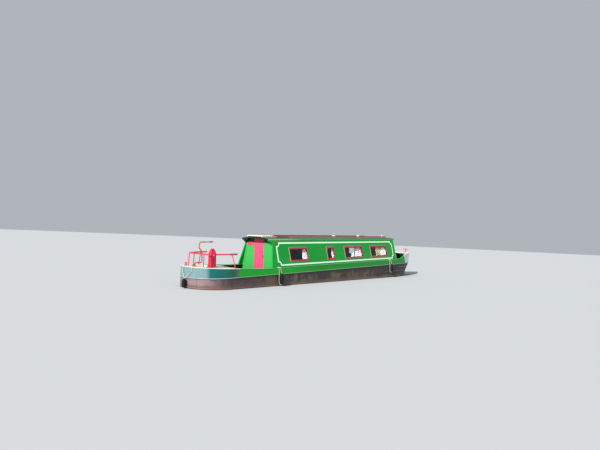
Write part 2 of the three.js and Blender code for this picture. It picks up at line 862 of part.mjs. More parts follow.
// The hatch's lip slides over the bulkhead
const lipWay = box(aftFace - 20, aftFace + cabinWall + 20, -hatchHalf, hatchHalf, doorHigh + 6, 2600);
add(group, 'aft_bulkhead', join([
  cut(bulkhead(aftFace, wellFloorZ - 30, doorHalf, doorLow - doorGap, 2500), [lipWay]),
  ...knuckles(aftFace, -1, doorHalf, 1, false),
]), 'green');
add(group, 'front_bulkhead', join([
  bulkhead(cabinEnd - cabinWall, wellFloorZ - 30, frontDoorHalf, doorLow - doorGap, frontDoorHigh + doorGap),
  ...knuckles(cabinEnd, 1, frontDoorHalf, 1, false),
  ...knuckles(cabinEnd, 1, -frontDoorHalf, -1, false),
]), 'green');
for (const [name, side] of sides) {
  add(group, `hull_side_${name}`, hullSide(side), 'hullBlack');
  add(group, `swim_${name}`, swim(side), 'hullBlack');
  add(group, `side_deck_${name}`, sideDeck(side), 'deck');
  add(group, `handrail_${name}`, handrail(side), 'red');
  const panel = leaned(side);
  add(panel, `cabin_side_${name}`, cabinSide(side), 'green');
  add(panel, `curtains_${name}`, curtains(side), 'cloth');
  windowStations.forEach(([start, end], i) => {
    add(panel, `window_${name}_${i + 1}`, windowUnit(side, start, end), 'glass');
  });
  group.add(panel);
  fenderStations.forEach((station, i) => {
    add(group, `fender_${name}_${i + 1}`, sideFender(side, station), 'rope');
  });
  const frontDoor = box(cabinEnd - doorThick, cabinEnd, side * 3, side * (frontDoorHalf - doorGap),
    doorLow, frontDoorHigh);
  const frontHinge = knuckles(cabinEnd, 1, side * frontDoorHalf, -side, true);
  add(group, `front_door_${name}`, join([frontDoor, ...frontHinge]), 'green');
}
const doorEdge = doorHalf - doorGap;
add(group, 'aft_door', join([
  box(aftFace, aftFace + doorThick, -doorEdge, doorEdge, doorLow, doorHigh),
  ...knuckles(aftFace, -1, doorHalf, -1, true),
]), 'red');
add(group, 'vent_panel', box(aftFace - 18, aftFace - gap, 320, 620, 1990, 2110), 'red');
add(group, 'sliding_hatch', slidingHatch(), 'cream');
add(group, 'engine_hatch', hatchLid(engineHatch), 'deck');
add(group, 'locker_lid', hatchLid(lockerHatch), 'deck');
add(group, 'stern_rail', sternRail(), 'red');
add(group, 'control_column', controlColumn(), 'red');
add(group, 'rudder', rudder(), 'steel');
add(group, 'tiller', tiller(), 'red');
add(group, 'propeller', propeller(), 'bronze');
add(group, 'engine', engine(), 'engine');
add(group, 'foredeck_stud', tStud(), 'red');
add(group, 'stern_fender', sternFender(), 'rope');

// The frame's origin is under the middle of the whole length
const aftReach = sternEnd - strakeProud - 2 * sternFenderRadius - gap;
const foreReach = bowPoint(1, bowZ - plate - gap)[0] + 6;
group.position.x = -(aftReach + foreReach) / 2;

export default group;
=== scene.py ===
# Narrowboat afloat: shapes, finishes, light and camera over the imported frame.
# Metres, +X to the bow, +Y to port, +Z up. Lengthwise places are stations, 0 where the cabin sides start.
import math

import bmesh
import bpy
from mathutils import Matrix, Vector


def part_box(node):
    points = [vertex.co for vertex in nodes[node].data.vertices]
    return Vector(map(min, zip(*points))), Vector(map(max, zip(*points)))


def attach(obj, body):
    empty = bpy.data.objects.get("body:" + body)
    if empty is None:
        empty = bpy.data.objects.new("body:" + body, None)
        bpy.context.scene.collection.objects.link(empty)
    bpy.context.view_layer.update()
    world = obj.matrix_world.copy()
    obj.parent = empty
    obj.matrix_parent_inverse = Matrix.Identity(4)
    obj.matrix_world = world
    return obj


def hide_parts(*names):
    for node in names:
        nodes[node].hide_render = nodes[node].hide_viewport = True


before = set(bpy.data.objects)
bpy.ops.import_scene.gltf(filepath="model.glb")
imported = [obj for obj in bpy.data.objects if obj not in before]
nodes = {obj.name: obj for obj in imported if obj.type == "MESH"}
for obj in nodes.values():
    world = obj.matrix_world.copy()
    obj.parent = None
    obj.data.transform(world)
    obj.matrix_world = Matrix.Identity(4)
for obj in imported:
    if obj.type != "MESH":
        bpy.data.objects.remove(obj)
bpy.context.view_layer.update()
print("frame loaded,", len(nodes), "nodes")

cabin = {"aft": 0.2, "end": 9.36, "half": 0.93, "lift": 1.23068, "lean": math.atan(0.237), "top": 2.2113}
water = {"level": 0.5497, "trim": 0.02529, "reach": 160.0}      # falls towards the bow
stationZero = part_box("cabin_side_starboard")[1].x - cabin["end"]
sides = {"starboard": -1, "port": 1}
bothSides = (-1, 1)
upward = Vector((0, 0, 1))


def at(s, y, z):
    return Vector((s + stationZero, y, z))


def spaced(start, end, count):
    return [start + (end - start) * i / count for i in range(count + 1)]


def degrees(start, end, step):      # a range of angles, in radians
    return [math.radians(d) for d in range(start, end, step)]


def around(count, phase=0.0):      # angles evenly round one turn
    return [phase + 2 * math.pi * k / count for k in range(count)]


def clamp(value):
    return max(0.0, min(1.0, value))


def eased(value):
    t = clamp(value)
    return t * t * (3 - 2 * t)


# Node trees, for finishes and for geometry
def newTree(name, kind, inputs, outputs):
    tree = bpy.data.node_groups.new(name, kind)
    for way, sockets in (("INPUT", inputs), ("OUTPUT", outputs)):
        for label, what in sockets.items():
            tree.interface.new_socket(name=label, in_out=way, socket_type="NodeSocket" + what)
    return tree, tree.nodes.new("NodeGroupInput").outputs, tree.nodes.new("NodeGroupOutput").inputs


def node(tree, kind, links=(), **settings):      # makes a node and gives its outputs
    made = tree.nodes.new(kind if "Node" in kind else "ShaderNode" + kind)
    for key, value in settings.items():
        setattr(made, key, value)
    for key, value in dict(links).items():
        if isinstance(value, bpy.types.NodeSocket):
            tree.links.new(value, made.inputs[key])
        else:
            made.inputs[key].default_value = value
    return made.outputs


def link(tree, targets, **sources):
    for key, source in sources.items():
        tree.links.new(source, targets[key.replace("_", " ")])


def calc(tree, operation, *values, limit=False):
    return node(tree, "Math", enumerate(values), operation=operation, use_clamp=limit)[0]


def swing(tree, value, reach, middle):      # a noise value that swings about a middle
    return calc(tree, "MULTIPLY_ADD", calc(tree, "SUBTRACT", value, 0.5), reach, middle)


def ramp(tree, value, low, high):
    return node(tree, "MapRange", {0: value, 1: low, 2: high})[0]


def mixColour(tree, factor, a, b, blend="MIX"):
    return node(tree, "Mix", {0: factor, 6: a, 7: b}, data_type="RGBA", blend_type=blend)[2]


def toned(tree, paint, shade):
    tone = node(tree, "CombineColor", {0: shade, 1: shade, 2: shade})[0]
    return mixColour(tree, 1.0, paint, tone, "MULTIPLY")


def noiseOf(tree, vector, scale, detail=3.0, rough=0.55):
    return node(tree, "TexNoise", {"Vector": vector, "Scale": scale, "Detail": detail, "Roughness": rough})[0]


def stretched(tree, vector, scale):
    return node(tree, "Mapping", {"Vector": vector, "Scale": scale})[0]


def colour(red, green, blue):
    return tuple(((v / 255 + 0.055) / 1.055) ** 2.4 if v > 10 else v / 3294 for v in (red, green, blue)) + (1.0,)


surfaceOut = {"Colour": "Color", "Roughness": "Float", "Height": "Float"}


# Weather: faded clouds, specks, vertical streaks and a brushed surface, for every painted piece
def makeWeather():
    tree, given, out = newTree("weather", "ShaderNodeTree", {
        "Vector": "Vector", "Paint": "Color", "Dirt": "Color", "Fade": "Float", "Streaks": "Float",
        "Specks": "Float", "Gloss": "Float"}, surfaceOut)
    vector, fade = given["Vector"], given["Fade"]
    clouds = noiseOf(tree, vector, 1.3, 4.0)
    fine = noiseOf(tree, vector, 9.0, 5.0, 0.65)
    grit = noiseOf(tree, vector, 130.0, 2.0)
    runs = noiseOf(tree, stretched(tree, vector, (7.0, 7.0, 0.55)), 2.2, 4.0, 0.6)
    brushed = noiseOf(tree, stretched(tree, vector, (1.2, 18.0, 26.0)), 3.0, 3.0)
    shade = swing(tree, fine, calc(tree, "MULTIPLY", fade, 0.6), swing(tree, clouds, fade, 1.0))
    streak = calc(tree, "MULTIPLY", ramp(tree, runs, 0.5, 0.72), given["Streaks"])
    speck = calc(tree, "MULTIPLY", ramp(tree, grit, 0.6, 0.72), given["Specks"])
    dirt = calc(tree, "MAXIMUM", streak, speck)
    link(tree, out, Colour=mixColour(tree, dirt, toned(tree, given["Paint"], shade), given["Dirt"]),
         Roughness=calc(tree, "MULTIPLY_ADD", dirt, 0.35, swing(tree, fine, 0.22, given["Gloss"]), limit=True),
         Height=calc(tree, "MULTIPLY_ADD", brushed, 0.5, calc(tree, "MULTIPLY", grit, 0.3)))
    return tree


# Zone: 0 before a place along a direction, 1 after it, with a soft or ragged border
def makeZone():
    tree, given, out = newTree("zone", "ShaderNodeTree", {
        "Value": "Float", "Place": "Float", "Soft": "Float", "Vector": "Vector", "Ragged": "Float"}, {"Mask": "Float"})
    moved = swing(tree, noiseOf(tree, given["Vector"], 3.5, 4.0, 0.65), given["Ragged"], given["Value"])
    past = calc(tree, "DIVIDE", calc(tree, "SUBTRACT", moved, given["Place"]), given["Soft"])
    link(tree, out, Mask=calc(tree, "MULTIPLY_ADD", past, 1.0, 0.5, limit=True))
    return tree


# Patch: a second colour in ragged islands
def makePatch():
    tree, given, out = newTree("patch", "ShaderNodeTree", {
        "Vector": "Vector", "Base": "Color", "Island": "Color", "Scale": "Float", "Low": "Float", "High": "Float",
    }, {"Colour": "Color"})
    mask = ramp(tree, noiseOf(tree, given["Vector"], given["Scale"], 7.0, 0.62), given["Low"], given["High"])
    link(tree, out, Colour=mixColour(tree, mask, given["Base"], given["Island"]))
    return tree


# Weave: crossed threads from two directions of a vector
def makeWeave():
    tree, given, out = newTree("weave", "ShaderNodeTree", {
        "Vector": "Vector", "Cloth": "Color", "Threads": "Float"}, surfaceOut)
    parts = node(tree, "SeparateXYZ", {0: given["Vector"]})
    waves = [calc(tree, "SINE", calc(tree, "MULTIPLY", parts[i], given["Threads"])) for i in (0, 2)]
    height = calc(tree, "MULTIPLY", *waves)
    clouds = noiseOf(tree, given["Vector"], 6.0)
    shade = calc(tree, "MULTIPLY_ADD", height, 0.05, calc(tree, "MULTIPLY_ADD", clouds, 0.16, 0.9))
    link(tree, out, Colour=toned(tree, given["Cloth"], shade), Height=height,
         Roughness=calc(tree, "MULTIPLY_ADD", clouds, 0.1, 0.82))
    return tree


# Grain: long fibres along X with rings between two tones
def makeGrain():
    tree, given, out = newTree("grain", "ShaderNodeTree", {
        "Vector": "Vector", "Light": "Color", "Dark": "Color", "Fineness": "Float"}, surfaceOut)
    long = stretched(tree, given["Vector"], (1.2, 26.0, 26.0))
    fibre = noiseOf(tree, long, given["Fineness"], 6.0, 0.65)
    rings = node(tree, "TexWave", {"Vector": long, "Scale": 0.35, "Distortion": 9.0, "Detail": 3.0},
                 wave_type="BANDS", bands_direction="Y")[0]
    tone = calc(tree, "MULTIPLY_ADD", rings, 0.45, calc(tree, "MULTIPLY", fibre, 0.6), limit=True)
    link(tree, out, Colour=mixColour(tree, tone, given["Dark"], given["Light"]), Height=fibre,
         Roughness=calc(tree, "MULTIPLY_ADD", fibre, -0.2, 0.62))
    return tree


weather, zone, patch, weave, grain = makeWeather(), makeZone(), makePatch(), makeWeave(), makeGrain()


def newMaterial(name, **settings):
    material = bpy.data.materials.new(name)
    material.use_nodes = True
    tree = material.node_tree
    shader = tree.nodes["Principled BSDF"]
    for key, value in settings.items():
        shader.inputs[key.replace("_", " ")].default_value = value
    return material, tree, shader, node(tree, "TexCoord")["Object"]


def coat(tree, shader, group, relief, depth, **links):
    made = node(tree, "Group", links, node_tree=group)
    normal = node(tree, "Bump", {"Height": made["Height"], "Strength": relief, "Distance": depth})[0]
    link(tree, shader.inputs, Base_Color=made["Colour"], Roughness=made["Roughness"], Normal=normal)


# Islands are (stretch, scale, low, high, paint). Zones are (direction, place, softness, raggedness, paint), their
# place in stations. They lie past the place along the direction, or before it where the softness is negative.
def painted(name, paint, dirt=(70, 60, 52), fade=0.16, streaks=0.12, specks=0.1, gloss=0.36, relief=0.12,
            islands=(), zones=(), **settings):
    material, tree, shader, here = newMaterial(name, **settings)
    look = colour(*paint)
    for stretch, scale, low, high, other in islands:
        look = node(tree, "Group", {"Vector": stretched(tree, here, stretch), "Base": look, "Scale": scale,
                                    "Island": colour(*other), "Low": low, "High": high}, node_tree=patch)["Colour"]
    for direction, spot, soft, ragged, other in zones:
        value = node(tree, "VectorMath", {0: here, 1: direction}, operation="DOT_PRODUCT")["Value"]
        past = node(tree, "Group", {"Value": value, "Place": spot + direction[0] * stationZero, "Soft": soft,
                                    "Vector": here, "Ragged": ragged}, node_tree=zone)["Mask"]
        look = mixColour(tree, past, look, colour(*other))
    coat(tree, shader, weather, relief, 0.002, Vector=here, Paint=look, Dirt=colour(*dirt), Fade=fade,
         Streaks=streaks, Specks=specks, Gloss=gloss)
    return material


def cloth(name, tint, threads, **settings):
    material, tree, shader, here = newMaterial(name, **settings)
    coat(tree, shader, weave, 0.25, 0.0006, Vector=here, Cloth=colour(*tint), Threads=threads)
    return material


def wooden(name, light, dark, fineness=1.0):
    material, tree, shader, here = newMaterial(name)
    coat(tree, shader, grain, 0.2, 0.001, Vector=here, Light=colour(*light), Dark=colour(*dark), Fineness=fineness)
    return material


def glassLook(name):      # clear to the light that casts shadows
    tint = (0.86, 0.9, 0.92, 1)
    material, tree, shader, here = newMaterial(name, Base_Color=tint, IOR=1.3, Transmission_Weight=1.0)
    surface = node(tree, "MixShader", {0: node(tree, "LightPath")["Is Shadow Ray"], 1: shader.outputs[0],
                                       2: node(tree, "BsdfTransparent", {0: tint})[0]})[0]
    link(tree, tree.nodes["Material Output"].inputs, Surface=surface)
    dust = ramp(tree, noiseOf(tree, here, 14.0, 4.0), 0.55, 0.8)
    link(tree, shader.inputs, Roughness=calc(tree, "MULTIPLY_ADD", dust, 0.1, 0.015))
    return material


along, tall, wet = (1, 0, 0), (0, 0, 1), (water["trim"], 0, 1)
flash = ((1, 0, 0.532), 10.72, 0.03, 0)      # the leaned border of the pale bow
sea = water["level"]
looks = {
    "cabinGreen": painted("cabin green gloss", (4, 150, 48), (50, 90, 50), gloss=0.3, fade=0.2, streaks=0.05,
                          specks=0.04, Specular_IOR_Level=0.3,
                          islands=[((0.25, 1, 1.6), 1.6, 0.5, 0.8, (16, 164, 62))]),
    # Aft bulkhead: the cabin green painted lighter, as painted sunlight from astern, and near-black above 2.112 m, as
    # painted shade under the roof overhang.
    "bulkheadGreen": painted("bulkhead green gloss, painted sunlight and shade", (58, 168, 78), (50, 110, 60), gloss=0.3, streaks=0.08,
                             specks=0.04, Specular_IOR_Level=0.3, zones=[(tall, 2.112, 0.006, 0.02, (8, 44, 24))]),
    # Side band: white where the bow flash is. Towards the stern it is lighter, then grey-brown and teal. Aft of station
    # -2.8 its palest zone is painted highlight, the sun's glare on the rounded stern.
    "bandGreen": painted("band green gloss, painted stern glare", (2, 140, 30), (60, 96, 60), gloss=0.32, Specular_IOR_Level=0.3, zones=[
        (along, 1.8, -2, 0.5, (4, 166, 42)), (*flash, (214, 232, 230)), (along, -1.72, -0.1, 0.12, (92, 108, 76)),
        (along, -1.86, -0.2, 0.1, (24, 98, 80)), (along, -2.42, -0.15, 0.06, (14, 92, 96)),
        (along, -2.8, -0.1, 0.05, (112, 142, 146))]),
    "blacking": painted("hull blacking", (52, 42, 46), (112, 94, 82), fade=0.8, streaks=0.45, specks=0.3, gloss=0.6,
                        relief=0.6, islands=[((1.2, 1, 0.7), 1.5, 0.47, 0.6, (96, 88, 62)),
                                             ((1, 1, 0.5), 3.1, 0.6, 0.68, (112, 100, 84)),
                                             ((3, 3, 0.6), 2.3, 0.58, 0.68, (28, 24, 30))],
                        zones=[(along, -0.4, -1.2, 0.5, (76, 58, 66)), (along, -2.62, -0.4, 0.2, (132, 108, 116)),
                               (along, 7.1, 1, 1.6, (42, 37, 42)), (wet, sea + 0.38, 0.1, 0.5, (46, 38, 44)),
                               (wet, sea + 0.13, -0.1, 0.2, (96, 78, 66)),
                               (wet, sea + 0.05, -0.012, 0.03, (136, 98, 92)),
                               (wet, sea + 0.026, -0.01, 0.02, (30, 26, 26))]),
    # Rubbing strake: its light green is painted highlight along the top. Below 0.972 m it is dark, partly the blacking
    # and partly painted shade under the strake. It is paler over the stern.
    "strakePaintedHighlightAndShade": painted("strake paint", (98, 160, 100), (60, 60, 50), streaks=0.25, gloss=0.4,
                           islands=[((1, 4, 4), 5, 0.64, 0.67, (74, 58, 46))],
                           zones=[(along, -1.8, -0.2, 0.1, (132, 164, 162)), (tall, 0.972, -0.006, 0, (38, 34, 36))]),
    "bowStrake": painted("bow strake paint", (92, 84, 92), (110, 96, 84), streaks=0.4, gloss=0.5),
    "deckPaint": painted("deck paint", (206, 212, 200), (120, 112, 96), fade=0.3, streaks=0, specks=0.45, gloss=0.75,
                         relief=0.9, islands=[((1, 1, 1), 1.7, 0.55, 0.75, (176, 180, 168))]),
    "sideDeck": painted("side deck green", (58, 160, 84), (80, 96, 70), fade=0.3, streaks=0, specks=0.35, gloss=0.7,
                        relief=0.9),
    # Near-black painted shade for both wells and the inner faces of their walls, which lie in shade.
    "wellDark": painted("well painted shade", (5, 16, 9), (30, 30, 24), fade=0.4, streaks=0.3, specks=0.2, gloss=0.75,
                        relief=0.5, Specular_IOR_Level=0.25),
    "palePaint": painted("pale line paint", (232, 255, 236), gloss=0.4, fade=0.06, streaks=0, specks=0.03),
    # Gunwale bead: light green, partly paint and partly painted highlight along the edge. It is white at the bow flash
    # and pale over the stern.
    "beadGreen": painted("bead green", (104, 190, 122), gloss=0.35, streaks=0, zones=[
        (*flash, (222, 238, 226)), (along, -1.72, -0.1, 0.1, (206, 222, 208))]),
    "roofGreen": painted("roof green", (30, 108, 54), (96, 110, 84), fade=0.3, streaks=0, specks=0.3, gloss=0.5,
                         relief=0.6),
    # Roof rim: pale green, partly its paint and partly painted sky reflection along the edge, and paler towards the
    # stern. Its aft end is dark paint.
    "roofEdge": painted("roof edge paint and painted reflection", (106, 162, 120), gloss=0.4, streaks=0.1, zones=[
        (along, 1.6, -0.8, 0.3, (182, 194, 176)), (along, -0.036, -0.004, 0, (8, 26, 16))]),
    "darkGreen": painted("dark green", (10, 34, 20), (40, 50, 36), gloss=0.4, streaks=0.05),
    "red": painted("red gloss", (214, 27, 63), (120, 60, 50), gloss=0.3, fade=0.3, streaks=0.08, Coat_Weight=0.2),
    # The door's top above 2.112 m is painted shadow from the roof overhang.
    "doorRed": painted("door red", (220, 74, 114), (150, 40, 60), gloss=0.4, streaks=0.06,
                       zones=[(tall, 2.112, 0.01, 0.03, (222, 38, 74))]),
    "frameRed": painted("window frame red", (158, 58, 66), (130, 108, 104), gloss=0.45, fade=0.4, streaks=0.15),
    "frameRim": painted("window frame rim", (196, 132, 132), gloss=0.4, fade=0.3, streaks=0.1),
    "railRed": painted("faded rail red", (166, 74, 76), (170, 150, 130), gloss=0.5, fade=0.5, streaks=0.1),
    "cream": painted("cream", (236, 230, 220), (150, 140, 120), gloss=0.4, streaks=0, fade=0.1),
    "white": painted("white enamel", (226, 234, 248), gloss=0.25, streaks=0, specks=0.02, fade=0.05),
    "beige": painted("beige board", (206, 192, 140), gloss=0.6, streaks=0),
    "steel": painted("dull steel", (120, 112, 104), (96, 60, 40), gloss=0.5, streaks=0.3, Metallic=0.8),
    "chrome": painted("chrome", (200, 200, 200), (120, 120, 120), gloss=0.16, streaks=0, relief=0.03, Metallic=1),
    "bronze": painted("bronze", (158, 118, 62), (74, 92, 70), gloss=0.32, streaks=0.2, Metallic=0.95),
    "rubber": painted("black rubber", (9, 9, 11), (58, 54, 50), gloss=0.7, relief=0.3, Specular_IOR_Level=0.3),
    "plastic": painted("black plastic", (24, 22, 26), gloss=0.4, streaks=0, relief=0.1),
    "zinc": painted("anode metal", (150, 150, 146), (110, 104, 96), fade=0.5, specks=0.6, gloss=0.7, relief=0.9,
                    Metallic=0.4),
    "engineGreen": painted("engine paint", (44, 84, 66), (40, 34, 26), gloss=0.4, specks=0.3, streaks=0.3),
    "wood": wooden("oiled boards", (150, 106, 64), (84, 54, 32)),
    "lining": wooden("dark lining boards", (96, 66, 44), (48, 32, 22), 1.4),
    "rope": cloth("rope strands", (208, 198, 186), 2600.0, Sheen_Weight=0.2),
    "curtain": cloth("curtain cloth", (253, 222, 224), 1500.0, Sheen_Weight=0.3),
    "wrap": cloth("grip wrap", (96, 78, 104), 1200.0, Sheen_Weight=0.2),
    "glass": glassLook("window glass"),
}
slots = {
    "hull_paint": ["blacking", "strakePaintedHighlightAndShade", "bandGreen", "bowStrake"], "roof_paint": ["roofGreen", "darkGreen"],
    "cabin_paint": ["cabinGreen", "bulkheadGreen", "beadGreen"], "deck_paint": ["deckPaint"],
    "cream_paint": ["palePaint", "cream", "white", "beige"], "red_paint": ["red", "railRed", "doorRed"],
    "window": ["frameRed", "glass"], "fender_rubber": ["rubber", "plastic", "wrap", "rope"],
    "steel": ["steel", "chrome", "zinc"], "bronze": ["bronze"], "floor_wood": ["wood", "lining"],
    "curtain_cloth": ["curtain"], "engine_paint": ["engineGreen"],
}
slotOf = {finish: slot for slot, finishes in slots.items() for finish in finishes}
print("finishes made,", len(looks))


# Meshes
def circle(centre, axis, radius, angles):
    axis = Vector(axis).normalized()
    across = axis.orthogonal().normalized()
    other = axis.cross(across)
    return [Vector(centre) + (across * math.cos(a) + other * math.sin(a)) * radius for a in angles]


def rounded(points, radius, steps=6):      # a path with its corners rounded
    points = [Vector(p) for p in points]
    path = [points[0]]
    for before, corner, after in zip(points, points[1:], points[2:]):
        first = corner + (before - corner).normalized() * radius
        last = corner + (after - corner).normalized() * radius
        path += [first * (1 - t) ** 2 + corner * 2 * t * (1 - t) + last * t * t for t in spaced(0, 1, steps)]
    return path + [points[-1]]


def route(points, radius, steps=6):      # the same through points in stations
    return rounded([at(*p) for p in points], radius, steps)


def cornered(corners, r, sweep, steps):      # a loop of arcs, each (x, y, first angle)
    return [(x + r * math.cos(a), y + r * math.sin(a)) for x, y, first in corners
            for a in (math.radians(first + sweep * k / steps) for k in range(steps + 1))]


def roundRect(x0, x1, y0, y1, r, steps=5):
    return cornered(((x1 - r, y1 - r, 0), (x0 + r, y1 - r, 90), (x0 + r, y0 + r, 180), (x1 - r, y0 + r, 270)),
                    r, 90, steps)


def gridFaces(rows, columns):
    wide = columns + 1
    return [(i * wide + j, i * wide + j + 1, (i + 1) * wide + j + 1, (i + 1) * wide + j)
            for i in range(rows) for j in range(columns)]


class Shape:
    def __init__(self, points=(), faces=()):
        self.points, self.faces, self.marks = [], [], []
        self.add(points, faces, [0] * len(faces))

    def add(self, points, faces, marks):
        start = len(self.points)
        self.points += [Vector(p) for p in points]
        self.faces += [[start + i for i in face] for face in faces]
        self.marks += marks
        return self

    def loft(self, rings, looped=False, markOf=lambda i, j: 0):
        count, total = len(rings[0]), len(rings)
        faces, marks = [], []
        for i in range(total if looped else total - 1):
            for j in range(count):
                k, n = (j + 1) % count, (i + 1) % total
                faces.append((i * count + j, i * count + k, n * count + k, n * count + j))
                marks.append(markOf(i, j))
        if not looped:
            faces += [range(count)[::-1], range((total - 1) * count, total * count)]
            marks += [markOf(0, 0)] * 2
        return self.add([p for ring in rings for p in ring], faces, marks)

    def box(self, low, high, turn=None):
        ring = ((low[0], low[1]), (high[0], low[1]), (high[0], high[1]), (low[0], high[1]))
        rings = [[Vector((x, y, z)) for x, y in ring] for z in (low[2], high[2])]
        return self.loft([[turn @ p for p in corners] for corners in rings] if turn else rings)

    def blocks(self, *rows):      # boxes of (s0, s1, y0, y1, z0, z1), in stations
        for s0, s1, y0, y1, z0, z1 in rows:
            self.box(at(s0, y0, z0), at(s1, y1, z1))
        return self

    def tube(self, path, radius, count=14):      # one radius, or one for each point
        across, rings = None, []
        for i, p in enumerate(path):
            ahead = (path[min(i + 1, len(path) - 1)] - path[max(i - 1, 0)]).normalized()
            across = across or ahead.orthogonal().normalized()
            across = (across - ahead * across.dot(ahead)).normalized()
            other = ahead.cross(across)
            r = radius[i] if isinstance(radius, list) else radius
            rings.append([p + (across * math.cos(a) + other * math.sin(a)) * r for a in around(count)])
        return self.loft(rings)

    def lathe(self, profile, count=24, base=(0, 0, 0), axis=(0, 0, 1)):      # profile of (radius, height)
        axis = Vector(axis).normalized()
        return self.loft([circle(Vector(base) + axis * h, axis, r, around(count)) for r, h in profile])

    def build(self, name, finishes, **more):
        mesh = bpy.data.meshes.new(name)
        mesh.from_pydata(self.points, [], self.faces)
        mesh.polygons.foreach_set("material_index", self.marks)
        shell = bmesh.new()
        shell.from_mesh(mesh)
        bmesh.ops.delete(shell, geom=[v for v in shell.verts if not v.link_faces], context="VERTS")
        bmesh.ops.recalc_face_normals(shell, faces=shell.faces)
        shell.to_mesh(mesh)
        shell.free()
        return place(mesh, name, finishes, **more)


def place(mesh, name, finishes, body="hull", stands="", slot="", bevel=0.0, steps=2, angle=40, thick=0.0):
    finishes = [finishes] if isinstance(finishes, str) else finishes
    for finish in finishes:
        mesh.materials.append(looks[finish])
    mesh.shade_smooth()
    mesh.set_sharp_from_angle(angle=math.radians(angle))
    piece = bpy.data.objects.new(name, mesh)
    bpy.context.scene.collection.objects.link(piece)
    if thick:
        wall = piece.modifiers.new("thickness", "SOLIDIFY")
        wall.thickness, wall.offset, wall.material_offset_rim = thick, -1.0, 1
    if bevel:
        edges = piece.modifiers.new("edges", "BEVEL")
        edges.width, edges.segments, edges.limit_method = bevel, steps, "ANGLE"
        edges.angle_limit, edges.harden_normals = math.radians(angle), True
    slot or slotOf[finishes[0]]
    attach(piece, body)
    if stands:
        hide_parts(stands)
    return piece


def geoTree(name, inputs):
    tree, given, out = newTree(name, "GeometryNodeTree", {"Geometry": "Geometry", **inputs, "Finish": "Material"},
                               {"Geometry": "Geometry"})
    tree.is_modifier = True
    return tree, given, out


def closeTree(tree, shape, given, out):
    whole = node(tree, "GeometryNodeRealizeInstances", {0: shape})[0]
    link(tree, out, Geometry=node(tree, "GeometryNodeSetMaterial", {0: whole, "Material": given["Finish"]})[0])
    return tree


# Bar: a round bar along each spline, with closed ends
def makeBarTree():
    tree, given, out = geoTree("bar on path", {"Radius": "Float", "Sides": "Int"})
    ring = node(tree, "GeometryNodeCurvePrimitiveCircle", {"Resolution": given["Sides"], "Radius": given["Radius"]})
    solid = node(tree, "GeometryNodeCurveToMesh", {"Curve": given["Geometry"], "Profile Curve": ring[0],
                                                   "Fill Caps": True})
    return closeTree(tree, solid[0], given, out)


# Rope: three strands laid round each other along each spline
def makeRopeTree():
    tree, given, out = geoTree("laid rope", {"Radius": "Float", "Turns per metre": "Float"})
    ring = node(tree, "GeometryNodeCurvePrimitiveCircle", {"Resolution": 18, "Radius": given["Radius"]})[0]
    where = node(tree, "GeometryNodeInputPosition")[0]
    parts = node(tree, "SeparateXYZ", {0: where})
    turn = calc(tree, "ARCTAN2", parts[1], parts[0])
    swell = calc(tree, "MULTIPLY", calc(tree, "COSINE", calc(tree, "MULTIPLY", turn, 3.0)), 0.14)
    shift = node(tree, "VectorMath", {0: where, "Scale": swell}, operation="SCALE")[0]
    lobed = node(tree, "GeometryNodeSetPosition", {0: ring, "Offset": shift})[0]
    fine = node(tree, "GeometryNodeResampleCurve", {"Curve": given["Geometry"], "Length": 0.006}, mode="LENGTH")[0]
    length = node(tree, "GeometryNodeSplineParameter")["Length"]
    tilt = calc(tree, "MULTIPLY", length, calc(tree, "MULTIPLY", given["Turns per metre"], 2 * math.pi))
    twisted = node(tree, "GeometryNodeSetCurveTilt", {"Curve": fine, "Tilt": tilt})[0]
    solid = node(tree, "GeometryNodeCurveToMesh", {"Curve": twisted, "Profile Curve": lobed, "Fill Caps": True})
    return closeTree(tree, solid[0], given, out)


# Scatter: one small shape on each point, its +Z along the point's facing, turned by its spin
def makeScatterTree():
    tree, given, out = geoTree("scatter on points", {"Shape": "Object"})
    facing = node(tree, "GeometryNodeInputNamedAttribute", {"Name": "facing"}, data_type="FLOAT_VECTOR")[0]
    spin = node(tree, "GeometryNodeInputNamedAttribute", {"Name": "spin"}, data_type="FLOAT")[0]
    turned = node(tree, "FunctionNodeAlignRotationToVector", {"Vector": facing}, axis="Z")[0]
    about = node(tree, "FunctionNodeAxisAngleToRotation", {"Axis": (0, 0, 1), "Angle": spin})[0]
    both = node(tree, "FunctionNodeRotateRotation", {0: turned, 1: about}, rotation_space="LOCAL")[0]
    shape = node(tree, "GeometryNodeObjectInfo", {"Object": given["Shape"]})["Geometry"]
    points = node(tree, "GeometryNodeInstanceOnPoints", {"Points": given["Geometry"], "Instance": shape,
                                                         "Rotation": both})[0]
    return closeTree(tree, points, given, out)


barTree, ropeTree, scatterTree = makeBarTree(), makeRopeTree(), makeScatterTree()


def grown(carrier, tree, values, name, finish, **more):      # what the tree makes, as a plain mesh
    bpy.context.scene.collection.objects.link(carrier)
    growth = carrier.modifiers.new("growth", "NODES")
    growth.node_group = tree
    values = {"Finish": looks[finish], **values}
    for item in tree.interface.items_tree:
        if item.in_out == "INPUT" and item.name in values:
            growth[item.identifier] = values[item.name]
    bpy.context.view_layer.update()
    mesh = bpy.data.meshes.new_from_object(carrier.evaluated_get(bpy.context.evaluated_depsgraph_get()))
    mesh.name = name
    bpy.data.objects.remove(carrier)
    mesh.materials.clear()
    return place(mesh, name, finish, **more)


def curveOf(paths):
    data = bpy.data.curves.new("path", "CURVE")
    data.dimensions = "3D"
    for path in paths:
        spline = data.splines.new("POLY")
        spline.points.add(len(path) - 1)
        for point, p in zip(spline.points, path):
            point.co = (*p, 1.0)
    return bpy.data.objects.new("path", data)


def bars(name, paths, radius, finish, count=14, **more):
    return grown(curveOf(paths), barTree, {"Radius": radius, "Sides": count}, name, finish, **more)


